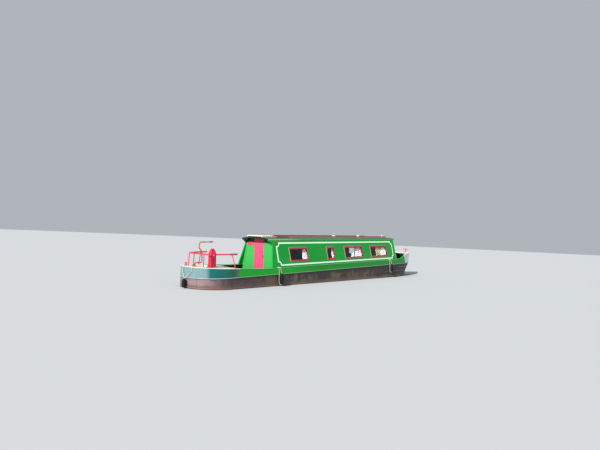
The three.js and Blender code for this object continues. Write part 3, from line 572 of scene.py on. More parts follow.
def scattered(name, spots, shape, finish, **more):      # spots of (place, facing, spin)
    points, stamp = bpy.data.meshes.new(name + " points"), bpy.data.meshes.new(name + " stamp")
    points.from_pydata([spot[0] for spot in spots], [], [])
    facings = points.attributes.new("facing", "FLOAT_VECTOR", "POINT").data
    facings.foreach_set("vector", [v for spot in spots for v in spot[1]])
    spins = points.attributes.new("spin", "FLOAT", "POINT").data
    spins.foreach_set("value", [spot[2] for spot in spots])
    stamp.from_pydata(shape.points, [], shape.faces)
    stampObject = bpy.data.objects.new(name + " stamp", stamp)
    grown(bpy.data.objects.new(name + " points", points), scatterTree, {"Shape": stampObject}, name, finish, **more)
    bpy.data.objects.remove(stampObject)


def upright(places, spin=0.0):
    return [(p, upward, spin) for p in places]


def lathed(name, finish, *rows, **more):      # rows of (base, axis, sides, profile)
    shape = Shape()
    for base, axis, count, profile in rows:
        shape.lathe(profile, count, base, axis)
    return shape.build(name, finish, **more)


# Hull skins: up the outside over the rubbing strake to the rail, and down the inside
hull = {"stern": -2.06, "half": 1.04, "wall": 0.04, "rail": 1.22, "foot": 0.0123, "counterFoot": 0.5453,
        "swimEnd": 0.9, "wellSide": 1.2078, "deckSide": 1.4677, "split": 1.34, "wallFoot": 1.2202,
        "wallStart": 9.215, "wellEnd": 9.9,
        "stations": [-2.0597, -1.85, -1.6, -1.35, -1.1, -0.8, -0.5, 0.0, 0.45, 0.8997, 0.9, 2.5, 4.5, 6.5, 8.0, 8.9]}
bow = {"start": 8.9, "tip": 11.75, "rake": 0.8, "rakePower": 0.8, "top": 1.48, "footHalf": 1.01, "flare": 0.03,
       "stemHalf": 0.012, "power": 1.45, "morePower": 0.15, "rings": 34, "wellRings": 9}
deckLine = {"aftStart": -0.5, "aftRise": 0.12, "aftRun": 2.6, "well": 1.25, "foreStart": 9.48, "foreRise": 0.23,
            "foreRun": 0.77, "railStart": 9.2, "railRise": 0.03, "railRun": 0.16}
strake = {"foot": 0.957, "level": 0.977, "radius": 0.02}


def deckTop(s):      # rises to the stern, and from the well to the bow
    if s <= cabin["end"]:
        return hull["rail"] + deckLine["aftRise"] * max(deckLine["aftStart"] - s, 0) / deckLine["aftRun"]
    return deckLine["well"] + deckLine["foreRise"] * eased((s - deckLine["foreStart"]) / deckLine["foreRun"])


def sheer(s):      # the rail's top, eased up where the cabin ends
    if deckLine["railStart"] < s <= cabin["end"] + 0.0002:
        return hull["rail"] + deckLine["railRise"] * eased((s - deckLine["railStart"]) / deckLine["railRun"])
    return deckTop(s)


def skinTop(s):
    return deckTop(min(s, cabin["end"])) - hull["foot"]


def bowPoint(u, z):      # (station, half width), u from where the plating turns in to the stem
    rise = min(z / strake["foot"], 1)
    start = bow["start"] + rise
    end = bow["tip"] + bow["rake"] * min(z / bow["top"], 1) ** bow["rakePower"]
    full = bow["footHalf"] + bow["flare"] * rise - bow["stemHalf"]
    narrowing = u ** (bow["power"] + bow["morePower"] * rise)
    return start + (end - start) * u, bow["stemHalf"] + full * (1 - narrowing)


def halfAt(s, z):
    start, end = bowPoint(0, z)[0], bowPoint(1, z)[0]
    return bowPoint(clamp((s - start) / (end - start)), z)[1]


def hullProfile(low, top):      # (height, out, finish)
    lower = [(z, 0, 0) for z in spaced(low, strake["foot"], 4)[:-1]]
    bulge = [(strake["level"] + strake["radius"] * math.sin(a), strake["radius"] * math.cos(a), 1)
             for a in degrees(-90, 61, 30)]
    upper = [(z, 0, 2) for z in spaced(strake["level"] + strake["radius"], top, 3)]
    return lower + bulge + upper + [(z, -hull["wall"], 0) for z in (top, strake["foot"], low)]


skinMarks = [mark for z, out, mark in hullProfile(0, 1.2)]


def hullSide(side):
    half, thick, low = hull["half"], hull["wall"], hull["wellSide"]
    rings, upper, wall = [], [], []      # skin, foredeck's side and the well's side on top of it

    def bowPut(u, z, out):      # out is square to the plating
        s, y = bowPoint(u, z)
        if out >= 0:
            return at(s, side * (y + (out if u < 1 else 0)), z)
        back, backHalf = bowPoint(max(u - 0.02, 0), z)
        turn = math.atan2(backHalf - y, max(s - back, 1e-6)) if u > 0 else 0
        if u == 1:
            return at(s + out / math.sin(turn), side * y, z)
        return at(s + out * math.sin(turn), side * (y + out * math.cos(turn)), z)

    def wallRing(foot, z0, head, z1):      # foot and head are (station, half width) of the outer face
        soft = min(0.006, (z1 - z0) / 2)
        (footS, footY), (s, y) = foot, head
        wall.append([at(a, side * b, z) for a, b, z in (
            (footS, footY - thick, z0), (footS, footY, z0), (s, y, z1 - soft), (s, y - soft, z1),
            (s, y - thick + soft, z1), (s, y - thick, z1 - soft))])

    for s in hull["stations"]:
        foot = hull["counterFoot"] if s < hull["swimEnd"] else hull["foot"]
        rings.append([at(s, side * (halfAt(s, z) + out), z) for z, out, mark in hullProfile(foot, skinTop(s))])
    for step, u in enumerate(spaced(0, 1, bow["rings"])):
        rings.append([bowPut(u, z, out) for z, out, mark in hullProfile(hull["foot"], skinTop(bow["start"]))])
        if step >= bow["wellRings"]:
            upper.append([bowPut(u, z, out) for z, out in (
                (low, -thick), (low, 0), (hull["split"], 0), (hull["deckSide"], 0), (hull["deckSide"], -thick))])
    for s in spaced(hull["wallStart"], cabin["end"], 7):
        wallRing((s, half), hull["wallFoot"], (s, half), sheer(s))
    for s in spaced(cabin["end"] + 0.0003, hull["wellEnd"], 10)[:-1]:
        wallRing((s, half), low, (s, half), deckTop(s))
    for u in spaced(0, 1, bow["rings"])[:bow["wellRings"] + 1]:
        top = bow["top"]
        for repeat in range(12):      # the height where the plating meets the rising deck
            top = deckTop(bowPoint(u, top)[0])
        wallRing(bowPoint(u, low), low, bowPoint(u, top), top)
    skin = Shape().loft(rings, markOf=lambda i, j: skinMarks[j])
    # The inner face of the well's wall (mark 3) takes the painted shade.
    return skin.loft(upper, markOf=lambda i, j: 0 if j == 4 else 2).loft(wall, markOf=lambda i, j: 3 if j == 5 else 2)


for name, side in sides.items():
    hullSide(side).build("hullSkin_" + name, ["blacking", "strakePaintedHighlightAndShade", "bandGreen", "wellDark"],
                         stands="hull_side_" + name, angle=32)


def sternStation(a):
    return hull["stern"] - hull["half"] * math.sin(a)


def sternPoint(a, side, z, out=0.0):      # on the round counter: a is 0 abeam, and a right angle aft
    half = hull["half"] + out
    return at(hull["stern"] - half * math.sin(a), side * half * math.cos(a), z)


Shape().loft([[sternPoint(a, 1, z, out) for z, out, mark in hullProfile(hull["counterFoot"], skinTop(sternStation(a)))]
              for a in spaced(0, math.pi, 72)], markOf=lambda i, j: skinMarks[j]).build(
    "counterSkin", ["blacking", "strakePaintedHighlightAndShade", "bandGreen"], stands="counter_shell", angle=32)

bowStrake = {"lines": [(0.82, 9.3), (0.63, 7.9), (0.42, 8.2)], "radius": 0.017, "proud": 0.004}
bars("bowStrakes", [[at(s, side * (halfAt(s, z) + bowStrake["proud"]), z)
                     for s in spaced(start, bowPoint(1, z)[0] - 0.06, 44)]
                    for z, start in bowStrake["lines"] for side in bothSides], bowStrake["radius"], "bowStrake", 12)

bead = {"radius": 0.009, "drop": 0.006}


def beadPath(side):
    aft = [sternPoint(a, side, deckTop(sternStation(a)) - bead["drop"]) for a in degrees(90, -1, -5)]
    middle = [at(s, side * hull["half"], sheer(s) - bead["drop"])
              for s in spaced(-1.9, 9.2, 30) + spaced(9.22, cabin["end"], 7)]
    fore = [at(s, side * halfAt(s, deckTop(s)), deckTop(s) - bead["drop"]) for s in spaced(9.37, 12.5, 60)]
    return aft + middle + fore


bars("gunwaleBead", [beadPath(side) for side in bothSides], bead["radius"], "beadGreen", 10, slot="deck_paint")

seams = {"stations": [-1.12, 1.98, 5.08, 8.18], "counterTurns": [30, 66], "radius": 0.0036,
         "bands": [("plateSeamsLow", 0.03, 0.955, "bowStrake"), ("plateSeamsHigh", 0.999, 1.2, "bandGreen")]}
for name, low, high, finish in seams["bands"]:
    aftLow = max(low, hull["counterFoot"] + 0.01)
    paths = [[at(s, side * halfAt(s, z), z) for z in spaced(aftLow if s < hull["swimEnd"] else low, high, 12)]
             for s in seams["stations"] for side in bothSides]
    paths += [[sternPoint(math.radians(d), side, z) for z in spaced(aftLow, high, 8)]
              for d in seams["counterTurns"] for side in bothSides]
    bars(name, paths, seams["radius"], finish, 8)

stem = {"half": 0.0117, "deep": 0.09, "proud": 0.006}


def stemRing(z):
    end, half = bowPoint(1, z)[0], stem["half"]
    nose = [(end + stem["proud"] - half + half * math.cos(a), half * math.sin(a)) for a in degrees(-90, 91, 22)]
    return [at(s, y, z) for s, y in [(end - stem["deep"], -half), *nose, (end - stem["deep"], half)]]


Shape().loft([stemRing(z) for z in spaced(hull["foot"], hull["deckSide"], 24)]).build(
    "stemBar", "blacking", stands="stem_post", angle=50)
print("hull skins made")


# Cabin sides: a leaned panel with coachline, windows and curtains
leanCos, leanSin = math.cos(cabin["lean"]), math.sin(cabin["lean"])


def onCabin(side, s, v, out=0.0):      # a point on a panel: v up its slope, out from its face
    return at(s, side * (cabin["half"] - v * leanSin + out * leanCos), cabin["lift"] + v * leanCos + out * leanSin)


def slopeOf(z):
    return (z - cabin["lift"]) / leanCos


coachline = {"start": 0.365, "end": 9.09, "low": 1.292, "high": 2.108, "notch": 0.14, "width": 0.058,
             "layers": (0.0003, 0.0022)}


def coachStrip(side):      # a mitred strip round a loop with hollow corners
    s0, s1, r = coachline["start"], coachline["end"], coachline["notch"]
    v0, v1 = slopeOf(coachline["low"]), slopeOf(coachline["high"])
    low, high = coachline["layers"]
    path = cornered(((s1, v0, 180), (s1, v1, 270), (s0, v1, 0), (s0, v0, 90)), r, -90, 8)
    rings = []
    for i, (x, y) in enumerate(path):
        (bx, by), (nx, ny) = path[i - 1], path[(i + 1) % len(path)]
        before, after = Vector((x - bx, y - by)).normalized(), Vector((nx - x, ny - y)).normalized()
        normal = Vector((-(before + after).y, (before + after).x)).normalized()
        reach = normal * (coachline["width"] / 2 / max(normal.dot(Vector((-after.y, after.x))), 0.5))
        a, b = Vector((x, y)) - reach, Vector((x, y)) + reach
        rings.append([onCabin(side, p.x, p.y, out) for p, out in ((a, low), (b, low), (b, high), (a, high))])
    return Shape().loft(rings, looped=True)


windows = {"spans": [(1.038, 2.169), (3.427, 3.997), (4.751, 6.239), (6.926, 8.505)], "low": 1.381, "high": 1.941,
           "corner": 0.035, "tallRail": 1.45,
           # sections of (inset, out)
           "frame": [(0.002, 0.0004), (0.0, 0.003), (0.002, 0.0075), (0.010, 0.012), (0.034, 0.0125), (0.044, 0.0105),
                     (0.055, 0.004), (0.055, -0.0078), (0.0215, -0.0078), (0.0215, 0.0004)],
           "seal": [(0.05, -0.0076), (0.053, 0.0035), (0.058, 0.005), (0.064, 0.001), (0.064, -0.0076)],
           "pane": [(0.05, -0.0138), (0.05, -0.0082)], "screw": {"inset": 0.022, "out": 0.0122, "apart": 0.24}}
windowLow, windowHigh = slopeOf(windows["low"]), slopeOf(windows["high"])


def windowRing(side, span, inset, rail, r, out):
    return [onCabin(side, x, y, out) for x, y in
            roundRect(span[0] + inset, span[1] - inset, windowLow + rail, windowHigh - rail, r)]


def frameRing(side, span, inset, out):
    rail = inset if inset < 0.03 else inset * windows["tallRail"]
    return windowRing(side, span, inset, rail, max(windows["corner"] - inset * 0.45, 0.012), out)


def screwSpots(side, span):
    inset, out, apart = windows["screw"].values()
    facing = onCabin(side, 0, 0, 1) - onCabin(side, 0, 0, 0)
    s0, s1, v0, v1 = span[0] + inset, span[1] - inset, windowLow + inset, windowHigh - inset
    across = spaced(s0, s1, max(round((span[1] - span[0]) / apart), 2))
    places = [(s, v, k * way) for k, s in enumerate(across) for v, way in ((v0, 1), (v1, -1))]
    places += [(s, v, v * way) for v in spaced(v0, v1, 3)[1:-1] for s, way in ((s0, 1), (s1, -1))]
    return [(onCabin(side, s, v, out), facing, spin) for s, v, spin in places]


edges = {"bead": 0.008, "foreTrim": 0.085, "aftTrim": 0.045}


def cornerTrim(name, side, s, out, edge, width, finish):      # flat bar over a bulkhead's leaned edge
    rings = []
    for z in (1.2205, 2.19):
        y = edge - (z - cabin["lift"]) * math.tan(cabin["lean"])
        rings.append([at(s + out * lift, side * (y - inset), z) for lift, inset in
                      ((0.0002, 0), (0.004, 0.002), (0.004, width - 0.002), (0.0002, width))])
    Shape().loft(rings).build(name, finish)


screw = Shape().lathe([(0.0062, -0.001), (0.0062, 0.0005), (0.0045, 0.0018), (0.002, 0.0024)], 10)
for name, side in sides.items():
    cornerTrim("cornerTrimFore_" + name, side, cabin["end"], 1, 0.924, edges["foreTrim"], "cabinGreen")
    # The aft trim shares the bulkhead's painted sunlight and shade.
    cornerTrim("cornerTrimAft_" + name, side, cabin["aft"], -1, 0.883, edges["aftTrim"], "bulkheadGreen")
    coachStrip(side).build("coachline_" + name, "palePaint", bevel=0.0006, steps=1)
    fore = [onCabin(side, 9.358, v, 0.001) for v in (0.004, slopeOf(cabin["top"]) - 0.004)]
    aft = [onCabin(side, 0.004, 0.004, 0.001), onCabin(side, 0.168, slopeOf(2.04), 0.001)]
    bars("cabinEdgeFore_" + name, [fore], edges["bead"], "beadGreen", 10)
    bars("cabinEdgeAft_" + name, [aft], edges["bead"], "cabinGreen", 10)
    seals, spots = Shape(), []
    for i, span in enumerate(windows["spans"]):
        label = f"{name}_{i + 1}"
        Shape().loft([frameRing(side, span, *row) for row in windows["frame"]], looped=True,
                     markOf=lambda i, j: int(i < 3 or i > 7)).build(
            "windowFrame_" + label, ["frameRed", "frameRim"], stands="window_" + label)
        Shape().loft([windowRing(side, span, inset, inset, 0.02, out) for inset, out in windows["pane"]]).build(
            "windowPane_" + label, "glass")
        seals.loft([windowRing(side, span, inset, inset + 0.024, 0.016, out) for inset, out in windows["seal"]],
                   looped=True)
        spots += screwSpots(side, span)
    seals.build("windowSeals_" + name, "rubber")
    scattered("windowScrews_" + name, spots, screw, "chrome")
print("cabin sides made")

curtains = {"drop": 0.60, "fold": 0.016, "folds": 9, "shares": [0.29, 0.28, 0.41, 0.36], "rows": 16, "behind": 0.075,
            "rail": 0.009}


def curtainSheet(name, side, span, share, number):      # gathered towards the window's fore end
    rows, columns = curtains["rows"], curtains["folds"] * 10
    points, flat = [], 0.0
    for t in spaced(0, 1, rows):
        v = windowHigh + 0.004 - (curtains["drop"] - 0.006) * t
        wide = (span[1] - span[0]) * share * (0.72 + 0.28 * t ** 0.7)
        row = []
        for u in spaced(0, 1, columns):
            s = span[1] + 0.006 - wide * (1 - u) + 0.004 * math.sin(9 * t + 14 * u)
            wave = math.sin(2 * math.pi * curtains["folds"] * u + 0.9 * math.sin(2.2 * t + number))
            depth = curtains["fold"] * (0.55 + 0.45 * t) * wave * (1 + 0.25 * math.sin(17 * u + 3 * number))
            row.append(onCabin(side, s, v, depth * 0.62 - curtains["behind"]))
        flat = max(flat, sum((a - b).length for a, b in zip(row, row[1:])))
        points += row
    faces = gridFaces(rows, columns)
    piece = Shape(points, faces).build(name, "curtain", angle=80)


for name, side in sides.items():
    bars("curtainRail_" + name, [[onCabin(side, s, windowHigh + 0.005, -0.0555) for s in (0.9, 8.6)]],
         curtains["rail"], "chrome", stands="curtains_" + name)
    for i, (span, share) in enumerate(zip(windows["spans"], curtains["shares"])):
        curtainSheet(f"curtain_{name}_{i + 1}", side, span, share, i + 1)
print("curtains made")

# Roof, notched for the hatch, with handrails and vents
roof = {"half": 0.705, "edge": 2.262, "camber": 0.065, "thick": 0.05, "start": -0.04, "end": 9.46, "notch": 0.33,
        "notchEnd": 0.7}


def roofZ(y):
    return roof["edge"] + roof["camber"] * (1 - (y / roof["half"]) ** 2)


notch = roof["notch"]
acrossRoof = sorted([-notch, notch] + [round(y, 4) for y in spaced(-roof["half"], roof["half"], 30)
                                       if abs(abs(y) - notch) > 0.01])
alongRoof = spaced(roof["start"], roof["notchEnd"], 2)[:-1] + spaced(roof["notchEnd"], roof["end"], 20)
roofPoints = [at(s, y, roofZ(y)) for s in alongRoof for y in acrossRoof]
roofFaces = [face for face in gridFaces(len(alongRoof) - 1, len(acrossRoof) - 1)
             if roofPoints[face[2]].x > at(roof["notchEnd"] + 0.01, 0, 0).x
             or max(abs(roofPoints[face[0]].y), abs(roofPoints[face[1]].y)) > notch + 0.001]
roofSkin = Shape(roofPoints, roofFaces).build("roofSkin", ["roofGreen", "roofEdge"], stands="roof", angle=50,
                                              bevel=0.008, thick=roof["thick"])
if roofSkin.data.polygons[0].normal.z < 0:
    roofSkin.data.flip_normals()

runner = {"y": 0.345, "start": -0.03, "end": 1.5}
runners = Shape()
for side in bothSides:
    y = side * runner["y"]
    for half, low, high in ((0.013, -0.02, 0.03), (0.02, -0.005, 0.006)):
        runners.blocks((runner["start"], runner["end"], y - half, y + half, roofZ(y) + low, roofZ(y) + high))
runners.build("hatchRunners", "roofGreen", bevel=0.003)

handrail = {"y": 0.62, "rise": 0.093, "radius": 0.019, "start": 0.265, "end": 8.64, "corner": 0.05,
            "feet": [1.3, 2.56, 3.82, 5.08, 6.34, 7.6]}
railFoot = Shape().lathe([(0.03, -0.004), (0.03, 0.005), (0.026, 0.009), (0.014, 0.013), (0.011, 0.03),
                          (0.011, 0.08), (0.016, 0.09)], 14)
for name, side in sides.items():
    y, low = side * handrail["y"], roofZ(handrail["y"])
    high = low + handrail["rise"]
    path = route([(handrail["start"] - 0.015, y, low), (handrail["start"], y, high), (handrail["end"], y, high),
                  (handrail["end"] + 0.015, y, low)], handrail["corner"])
    bars("handrailBar_" + name, [path], handrail["radius"], "railRed", 16, stands="handrail_" + name)
    scattered("handrailFeet_" + name, upright(at(s, y, low) for s in handrail["feet"]), railFoot, "railRed")

hatch = {"start": -0.055, "end": 0.76, "half": 0.388, "low": roofZ(0.345) + 0.0303, "skin": 0.034, "arch": 0.012}
hatchS, hatchLow = (hatch["start"], hatch["end"]), hatch["low"]
acrossHatch = spaced(-hatch["half"], hatch["half"], 16)
lid = Shape().loft([[at(s, y, hatchLow + hatch["arch"] * (1 - (y / hatch["half"]) ** 2) + hatch["skin"])
                     for y in acrossHatch] + [at(s, y, hatchLow) for y in reversed(acrossHatch)]
                    for s in spaced(*hatchS, 8)])
lid.blocks(*((*hatchS, *y, roofZ(0.366) + 0.006, hatchLow + 0.004) for y in ((-0.388, -0.366), (0.366, 0.388))))
Shape().blocks((hatch["start"], hatch["start"] + 0.02, -0.324, 0.324, 2.2622, hatchLow - 0.0002)).build(
    "hatchLip", "darkGreen", body="sliding_hatch", bevel=0.003)
lid.build("hatchLid", "cream", body="sliding_hatch", stands="sliding_hatch", bevel=0.006, steps=3)
bars("hatchHandle", [route([(0, y, hatchLow + z) for y, z in ((-0.09, 0.042), (-0.09, 0.068), (0.09, 0.068),
                                                              (0.09, 0.042))], 0.02)], 0.007, "chrome",
     body="sliding_hatch")

vents = {"stations": [5.03, 7.08], "stem": [(0.062, -0.006), (0.062, 0.006), (0.04, 0.012), (0.037, 0.045)],
         "cap": [(0.06, 0.0), (0.075, 0.004), (0.077, 0.014), (0.068, 0.028), (0.045, 0.039), (0.015, 0.044)]}
scattered("roofVents", upright(at(s, 0, roofZ(0)) for s in vents["stations"]),
          Shape().lathe(vents["stem"]).lathe(vents["cap"], base=(0, 0, 0.04)), "cream")
print("roof made")


# Stern gear
def boltRing(centre, radius, count, phase=0.4):
    angles = around(count, phase)
    return [(p, upward, a) for p, a in zip(circle(centre, upward, radius, angles), angles)]


bolt = Shape().lathe([(0.0085, -0.002), (0.0085, 0.0005), (0.0072, 0.0012), (0.0072, 0.0058), (0.0055, 0.0066)], 6)
bolt.lathe([(0.0045, 0.005), (0.0045, 0.0095), (0.003, 0.0105)], 8)
sternRail = {"top": 1.75, "radius": 0.023, "legRadius": 0.0165, "corner": 0.11,
             "path": [(-1.64, 0.8), (-1.9, 0.84), (-2.62, 0.56)],
             # (station, y) of a leg's head and foot
             "legs": [((-1.9, 0.84), (-1.86, 0.985)), ((-2.62, 0.26), (-2.64, 0.275)), ((-2.62, 0.53), (-2.64, 0.545))],
             "foot": [(0.038, -0.003), (0.038, 0.004), (0.035, 0.006), (0.02, 0.007), (0.018, 0.014)],
             "grip": [(-1.985, -0.828), (-1.642, -0.8)], "gripTurns": 64}
railTop, railPath = sternRail["top"], sternRail["path"]
bars("sternRailTop", [route([(s, -y, railTop) for s, y in railPath] + [(s, y, railTop) for s, y in railPath[::-1]],
                            sternRail["corner"], 8)], sternRail["radius"], "red", 20, stands="stern_rail")
legs = [(at(s, side * y, railTop - 0.008), at(footS, side * footY, deckTop(footS) + 0.0005))
        for side in bothSides for (s, y), (footS, footY) in sternRail["legs"]]
deckBolts = [spot for head, foot in legs for spot in boltRing(foot + upward * 0.004, 0.029, 4)]
bars("sternRailLegs", legs, sternRail["legRadius"], "red", 16)
scattered("sternRailFeet", upright(foot for head, foot in legs), Shape().lathe(sternRail["foot"], 20), "red")
gripEnds, turns = [at(s, y, railTop) for s, y in sternRail["grip"]], sternRail["gripTurns"]
Shape().tube([gripEnds[0].lerp(gripEnds[1], k / turns) for k in range(turns + 1)],
             [0.024 if k in (0, turns) else 0.0285 + 0.0016 * math.sin(k * 1.9) for k in range(turns + 1)], 20).build(
    "sternRailGrip", "wrap", angle=60)
lathed("sternRailEnd", "red", (at(-1.64, 0.8, railTop), (1, -0.15, 0), 20, [(0.0235, -0.012), (0.0235, 0.0),
                                                                           (0.017, 0.004)]), angle=60)

# Helm column: a tapered box with a domed head, a blank dial and a single lever
column = {"station": -2.4, "y": -0.42, "flange": (0.15, 0.104), "upperDial": 1.70, "lowerDial": 1.60, "lever": 1.72,
          # (height, half length, half width) of its rings over the foot
          "rings": [(1.5, 0.119, 0.073), (1.78, 0.116, 0.070), (1.80, 0.104, 0.063), (1.86, 0.092, 0.056),
                    (1.93, 0.040, 0.030), (1.938, 0.030, 0.022)]}
cs, cy = column["station"], column["y"]
foot = deckTop(cs) + 0.0006
dialS, (flangeX, flangeY) = cs + 0.1155, column["flange"]


def columnRing(z, a, b, r, steps):
    return [at(cs + x, cy + y, z) for x, y in roundRect(-a, a, -b, b, r, steps)]


Shape().loft([columnRing(z, a, b, min(0.014, b * 0.4), 4) for z, a, b in [(foot, 0.122, 0.076), *column["rings"]]]
             ).build("helmColumn", "red", stands="control_column", angle=28)
Shape().loft([columnRing(z, flangeX, flangeY, 0.02, 5) for z in (foot, foot + 0.007)]).build(
    "helmFlange", "red", bevel=0.002)
deckBolts += [(at(cs + x, cy + y, foot + 0.007), upward, x) for x in (-0.136, 0.136) for y in (-0.09, 0, 0.09)]
upperDial, lowerDial = at(dialS, cy, column["upperDial"]), at(dialS, cy, column["lowerDial"])
dialAxis = (1, 0, 0.01)
lathed("helmBezels", "chrome",
       (upperDial, dialAxis, 28, [(0.046, -0.004), (0.046, 0.006), (0.042, 0.010), (0.038, 0.010), (0.037, 0.007)]),
       (lowerDial, dialAxis, 24, [(0.03, -0.004), (0.03, 0.005), (0.026, 0.008), (0.023, 0.005)]),
       (at(cs, cy - 0.0695, column["lever"]), (0, -1, 0), 24, [(0.034, -0.004), (0.034, 0.012), (0.028, 0.018),
                                                               (0.014, 0.022)]))
lathed("helmFaces", "plastic", (upperDial, dialAxis, 28, [(0.0372, -0.002), (0.0372, 0.0075), (0.002, 0.0078)]),
       (lowerDial, dialAxis, 24, [(0.0232, -0.002), (0.0232, 0.0055), (0.002, 0.0058)]))
Shape().tube(route([(cs, cy - 0.085, column["lever"]), (cs - 0.006, cy - 0.1, 1.80), (cs - 0.03, cy - 0.1, 1.885)],
                   0.02), 0.0075).build("helmLever", "chrome")
lathed("helmKnob", "plastic", (at(cs - 0.03, cy - 0.1, 1.875), upward, 18, [
    (0.008, 0.0), (0.016, 0.006), (0.0205, 0.018), (0.0195, 0.03), (0.011, 0.04)]), angle=60)

# Swan-neck tiller on the rudder stock
tiller = {"stock": -2.8, "bar": 2.139, "neckRadius": 0.0185, "barRadius": 0.0155, "corner": 0.055,
          "neck": [(-2.8, 1.388), (-2.8, 1.45), (-2.5, 1.45), (-2.5, 1.81), (-2.64, 1.96), (-2.6, 2.139),
                   (-2.42, 2.139)],
          "grip": [(0.017, 0.0), (0.0225, 0.008), (0.0235, 0.03), (0.0205, 0.06), (0.023, 0.1), (0.0235, 0.118),
                   (0.019, 0.134), (0.008, 0.1395)],
          # (station, height, axis, sides, profile) of the bronze collars
          "collars": [(-2.8, 1.3865, (0, 0, 1), 24, [(0.031, 0.0), (0.034, 0.004), (0.034, 0.026), (0.030, 0.031),
                                                     (0.021, 0.032)]),
                      (-2.205, 2.139, (1, 0, 0), 22, [(0.0165, 0.0), (0.021, 0.003), (0.021, 0.013), (0.0175, 0.017)]),
                      (-2.45, 2.139, (1, 0, 0), 22, [(0.0195, 0.0), (0.0225, 0.004), (0.0225, 0.024), (0.0165, 0.03)])],
          "gland": [(0.075, 0.0), (0.075, 0.008), (0.071, 0.011), (0.046, 0.012), (0.043, 0.03), (0.0335, 0.034),
                    (0.0335, 0.02)]}
stock, barZ = tiller["stock"], tiller["bar"]
bars("tillerNeck", [route([(s, 0, z) for s, z in tiller["neck"]], tiller["corner"], 9)], tiller["neckRadius"], "red",
     20, body="rudder", stands="tiller")
bars("tillerBar", [[at(-2.44, 0, barZ), at(-2.17, 0, barZ)]], tiller["barRadius"], "railRed", 18, body="rudder")
lathed("tillerGrip", "wood", (at(-2.19, 0, barZ), (1, 0, 0), 22, tiller["grip"]), body="rudder", angle=60)
lathed("tillerCollars", "bronze", *((at(s, 0, z), *row) for s, z, *row in tiller["collars"]), body="rudder", angle=50)
lathed("rudderGland", "red", (at(stock, 0, deckTop(stock) + 0.0006), upward, 28, tiller["gland"]), angle=50)
deckBolts += boltRing(at(stock, 0, deckTop(stock) + 0.010), 0.059, 6)

# Mooring dollies on the stern, and caps over the tanks
dolly = {"station": -2.70, "y": 0.60, "profile": [
    (0.066, -0.004), (0.066, 0.008), (0.062, 0.011), (0.034, 0.014), (0.028, 0.03), (0.026, 0.07), (0.031, 0.084),
    (0.046, 0.092), (0.047, 0.1), (0.04, 0.106)]}
dollies = [at(dolly["station"], side * dolly["y"], deckTop(dolly["station"])) for side in bothSides]
scattered("sternDollies", upright(dollies), Shape().lathe(dolly["profile"], 26), "red", angle=50)
deckBolts += [spot for p in dollies for spot in boltRing(p + upward * 0.011, 0.05, 4, 0.0)]
deckCap = Shape().lathe([(0.04, -0.003), (0.04, 0.003), (0.037, 0.0055), (0.03, 0.0055), (0.029, 0.0035)], 26)
deckCap.box((-0.021, -0.0035, 0.003), (0.021, 0.0035, 0.0062))
scattered("deckCaps", [(at(s, y, deckTop(s) + 0.0005), upward, spin) for s, y, spin in
                       ((-2.3, 0.72, 0.3), (-2.45, 0.62, 1.2), (11.75, 0.0, 0.4))], deckCap, "bronze")
scattered("deckBolts", deckBolts, bolt, "steel")
print("stern gear made")

# Lids: tread plate of raised lozenges, a lifting ring and hinge leaves
treads = {"long": 0.012, "wide": 0.0032, "crown": 0.007, "high": 0.0014, "row": 0.036, "apart": 0.019, "endEdge": 0.035,
          "sideEdge": 0.025}
# Half sizes along and across, for the ring's plate, the ring and the space kept free of lozenges
lidRing = {"inset": 0.08, "plate": (0.024, 0.046), "corner": 0.012, "ring": (0.017, 0.03), "thick": 0.0038,
           "clear": (0.05, 0.07)}
leaf = {"long": 0.07, "half": 0.03, "place": 0.62}
tread = Shape([(-treads["long"], 0, 0), (0, -treads["wide"], 0), (treads["long"], 0, 0), (0, treads["wide"], 0),
               (-treads["crown"], 0, treads["high"]), (treads["crown"], 0, treads["high"])],
              [(0, 1, 5, 4), (1, 2, 5), (2, 3, 4, 5), (3, 0, 4), (0, 3, 2, 1)])


def lidGear(name, body, s0, s1, half):      # hinged at its fore end
    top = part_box(body)[1].z
    apart, ringS, edge = treads["apart"], s0 + lidRing["inset"], treads["endEdge"]
    (a, b), (ringA, ringB), (clearA, clearB) = lidRing["plate"], lidRing["ring"], lidRing["clear"]
    rows = spaced(s0 + edge, s1 - edge, round((s1 - s0 - 2 * edge) / treads["row"]))
    across = round((half - 0.03) / apart)
    spots = []
    for i, s in enumerate(rows):
        for j in range(-across, across + 1):
            y = (j + i % 2 / 2) * apart
            if abs(y) < half - treads["sideEdge"] and (abs(s - ringS) > clearA or abs(y) > clearB):
                spots.append((at(s, y, top), upward, math.pi / 4 if (i + j) % 2 else -math.pi / 4))
    scattered(name + "Tread", spots, tread, "deckPaint", body=body)
    ring = Shape().loft([[at(ringS + x, y, top + z) for x, y in roundRect(-a, a, -b, b, lidRing["corner"], 4)]
                         for z in (0.0004, 0.0022)])
    ring.tube([at(ringS + ringA * math.cos(t) - 0.002, ringB * math.sin(t), top + 0.0062)
               for t in degrees(0, 361, 15)], lidRing["thick"], 10)
    ring.build(name + "Ring", "steel", body=body, angle=50)
    leaves = [(s1 - leaf["long"], s1, y - leaf["half"], y + leaf["half"], top + 0.0003, top + 0.0035)
              for y in (-half * leaf["place"], half * leaf["place"])]
    Shape().blocks(*leaves).build(name + "Leaves", "steel", body=body, bevel=0.001, steps=1)


lidGear("engineHatch", "engine_hatch", -2.21, -1.63, 0.33)
lidGear("lockerLid", "locker_lid", 10.98, 11.52, 0.27)

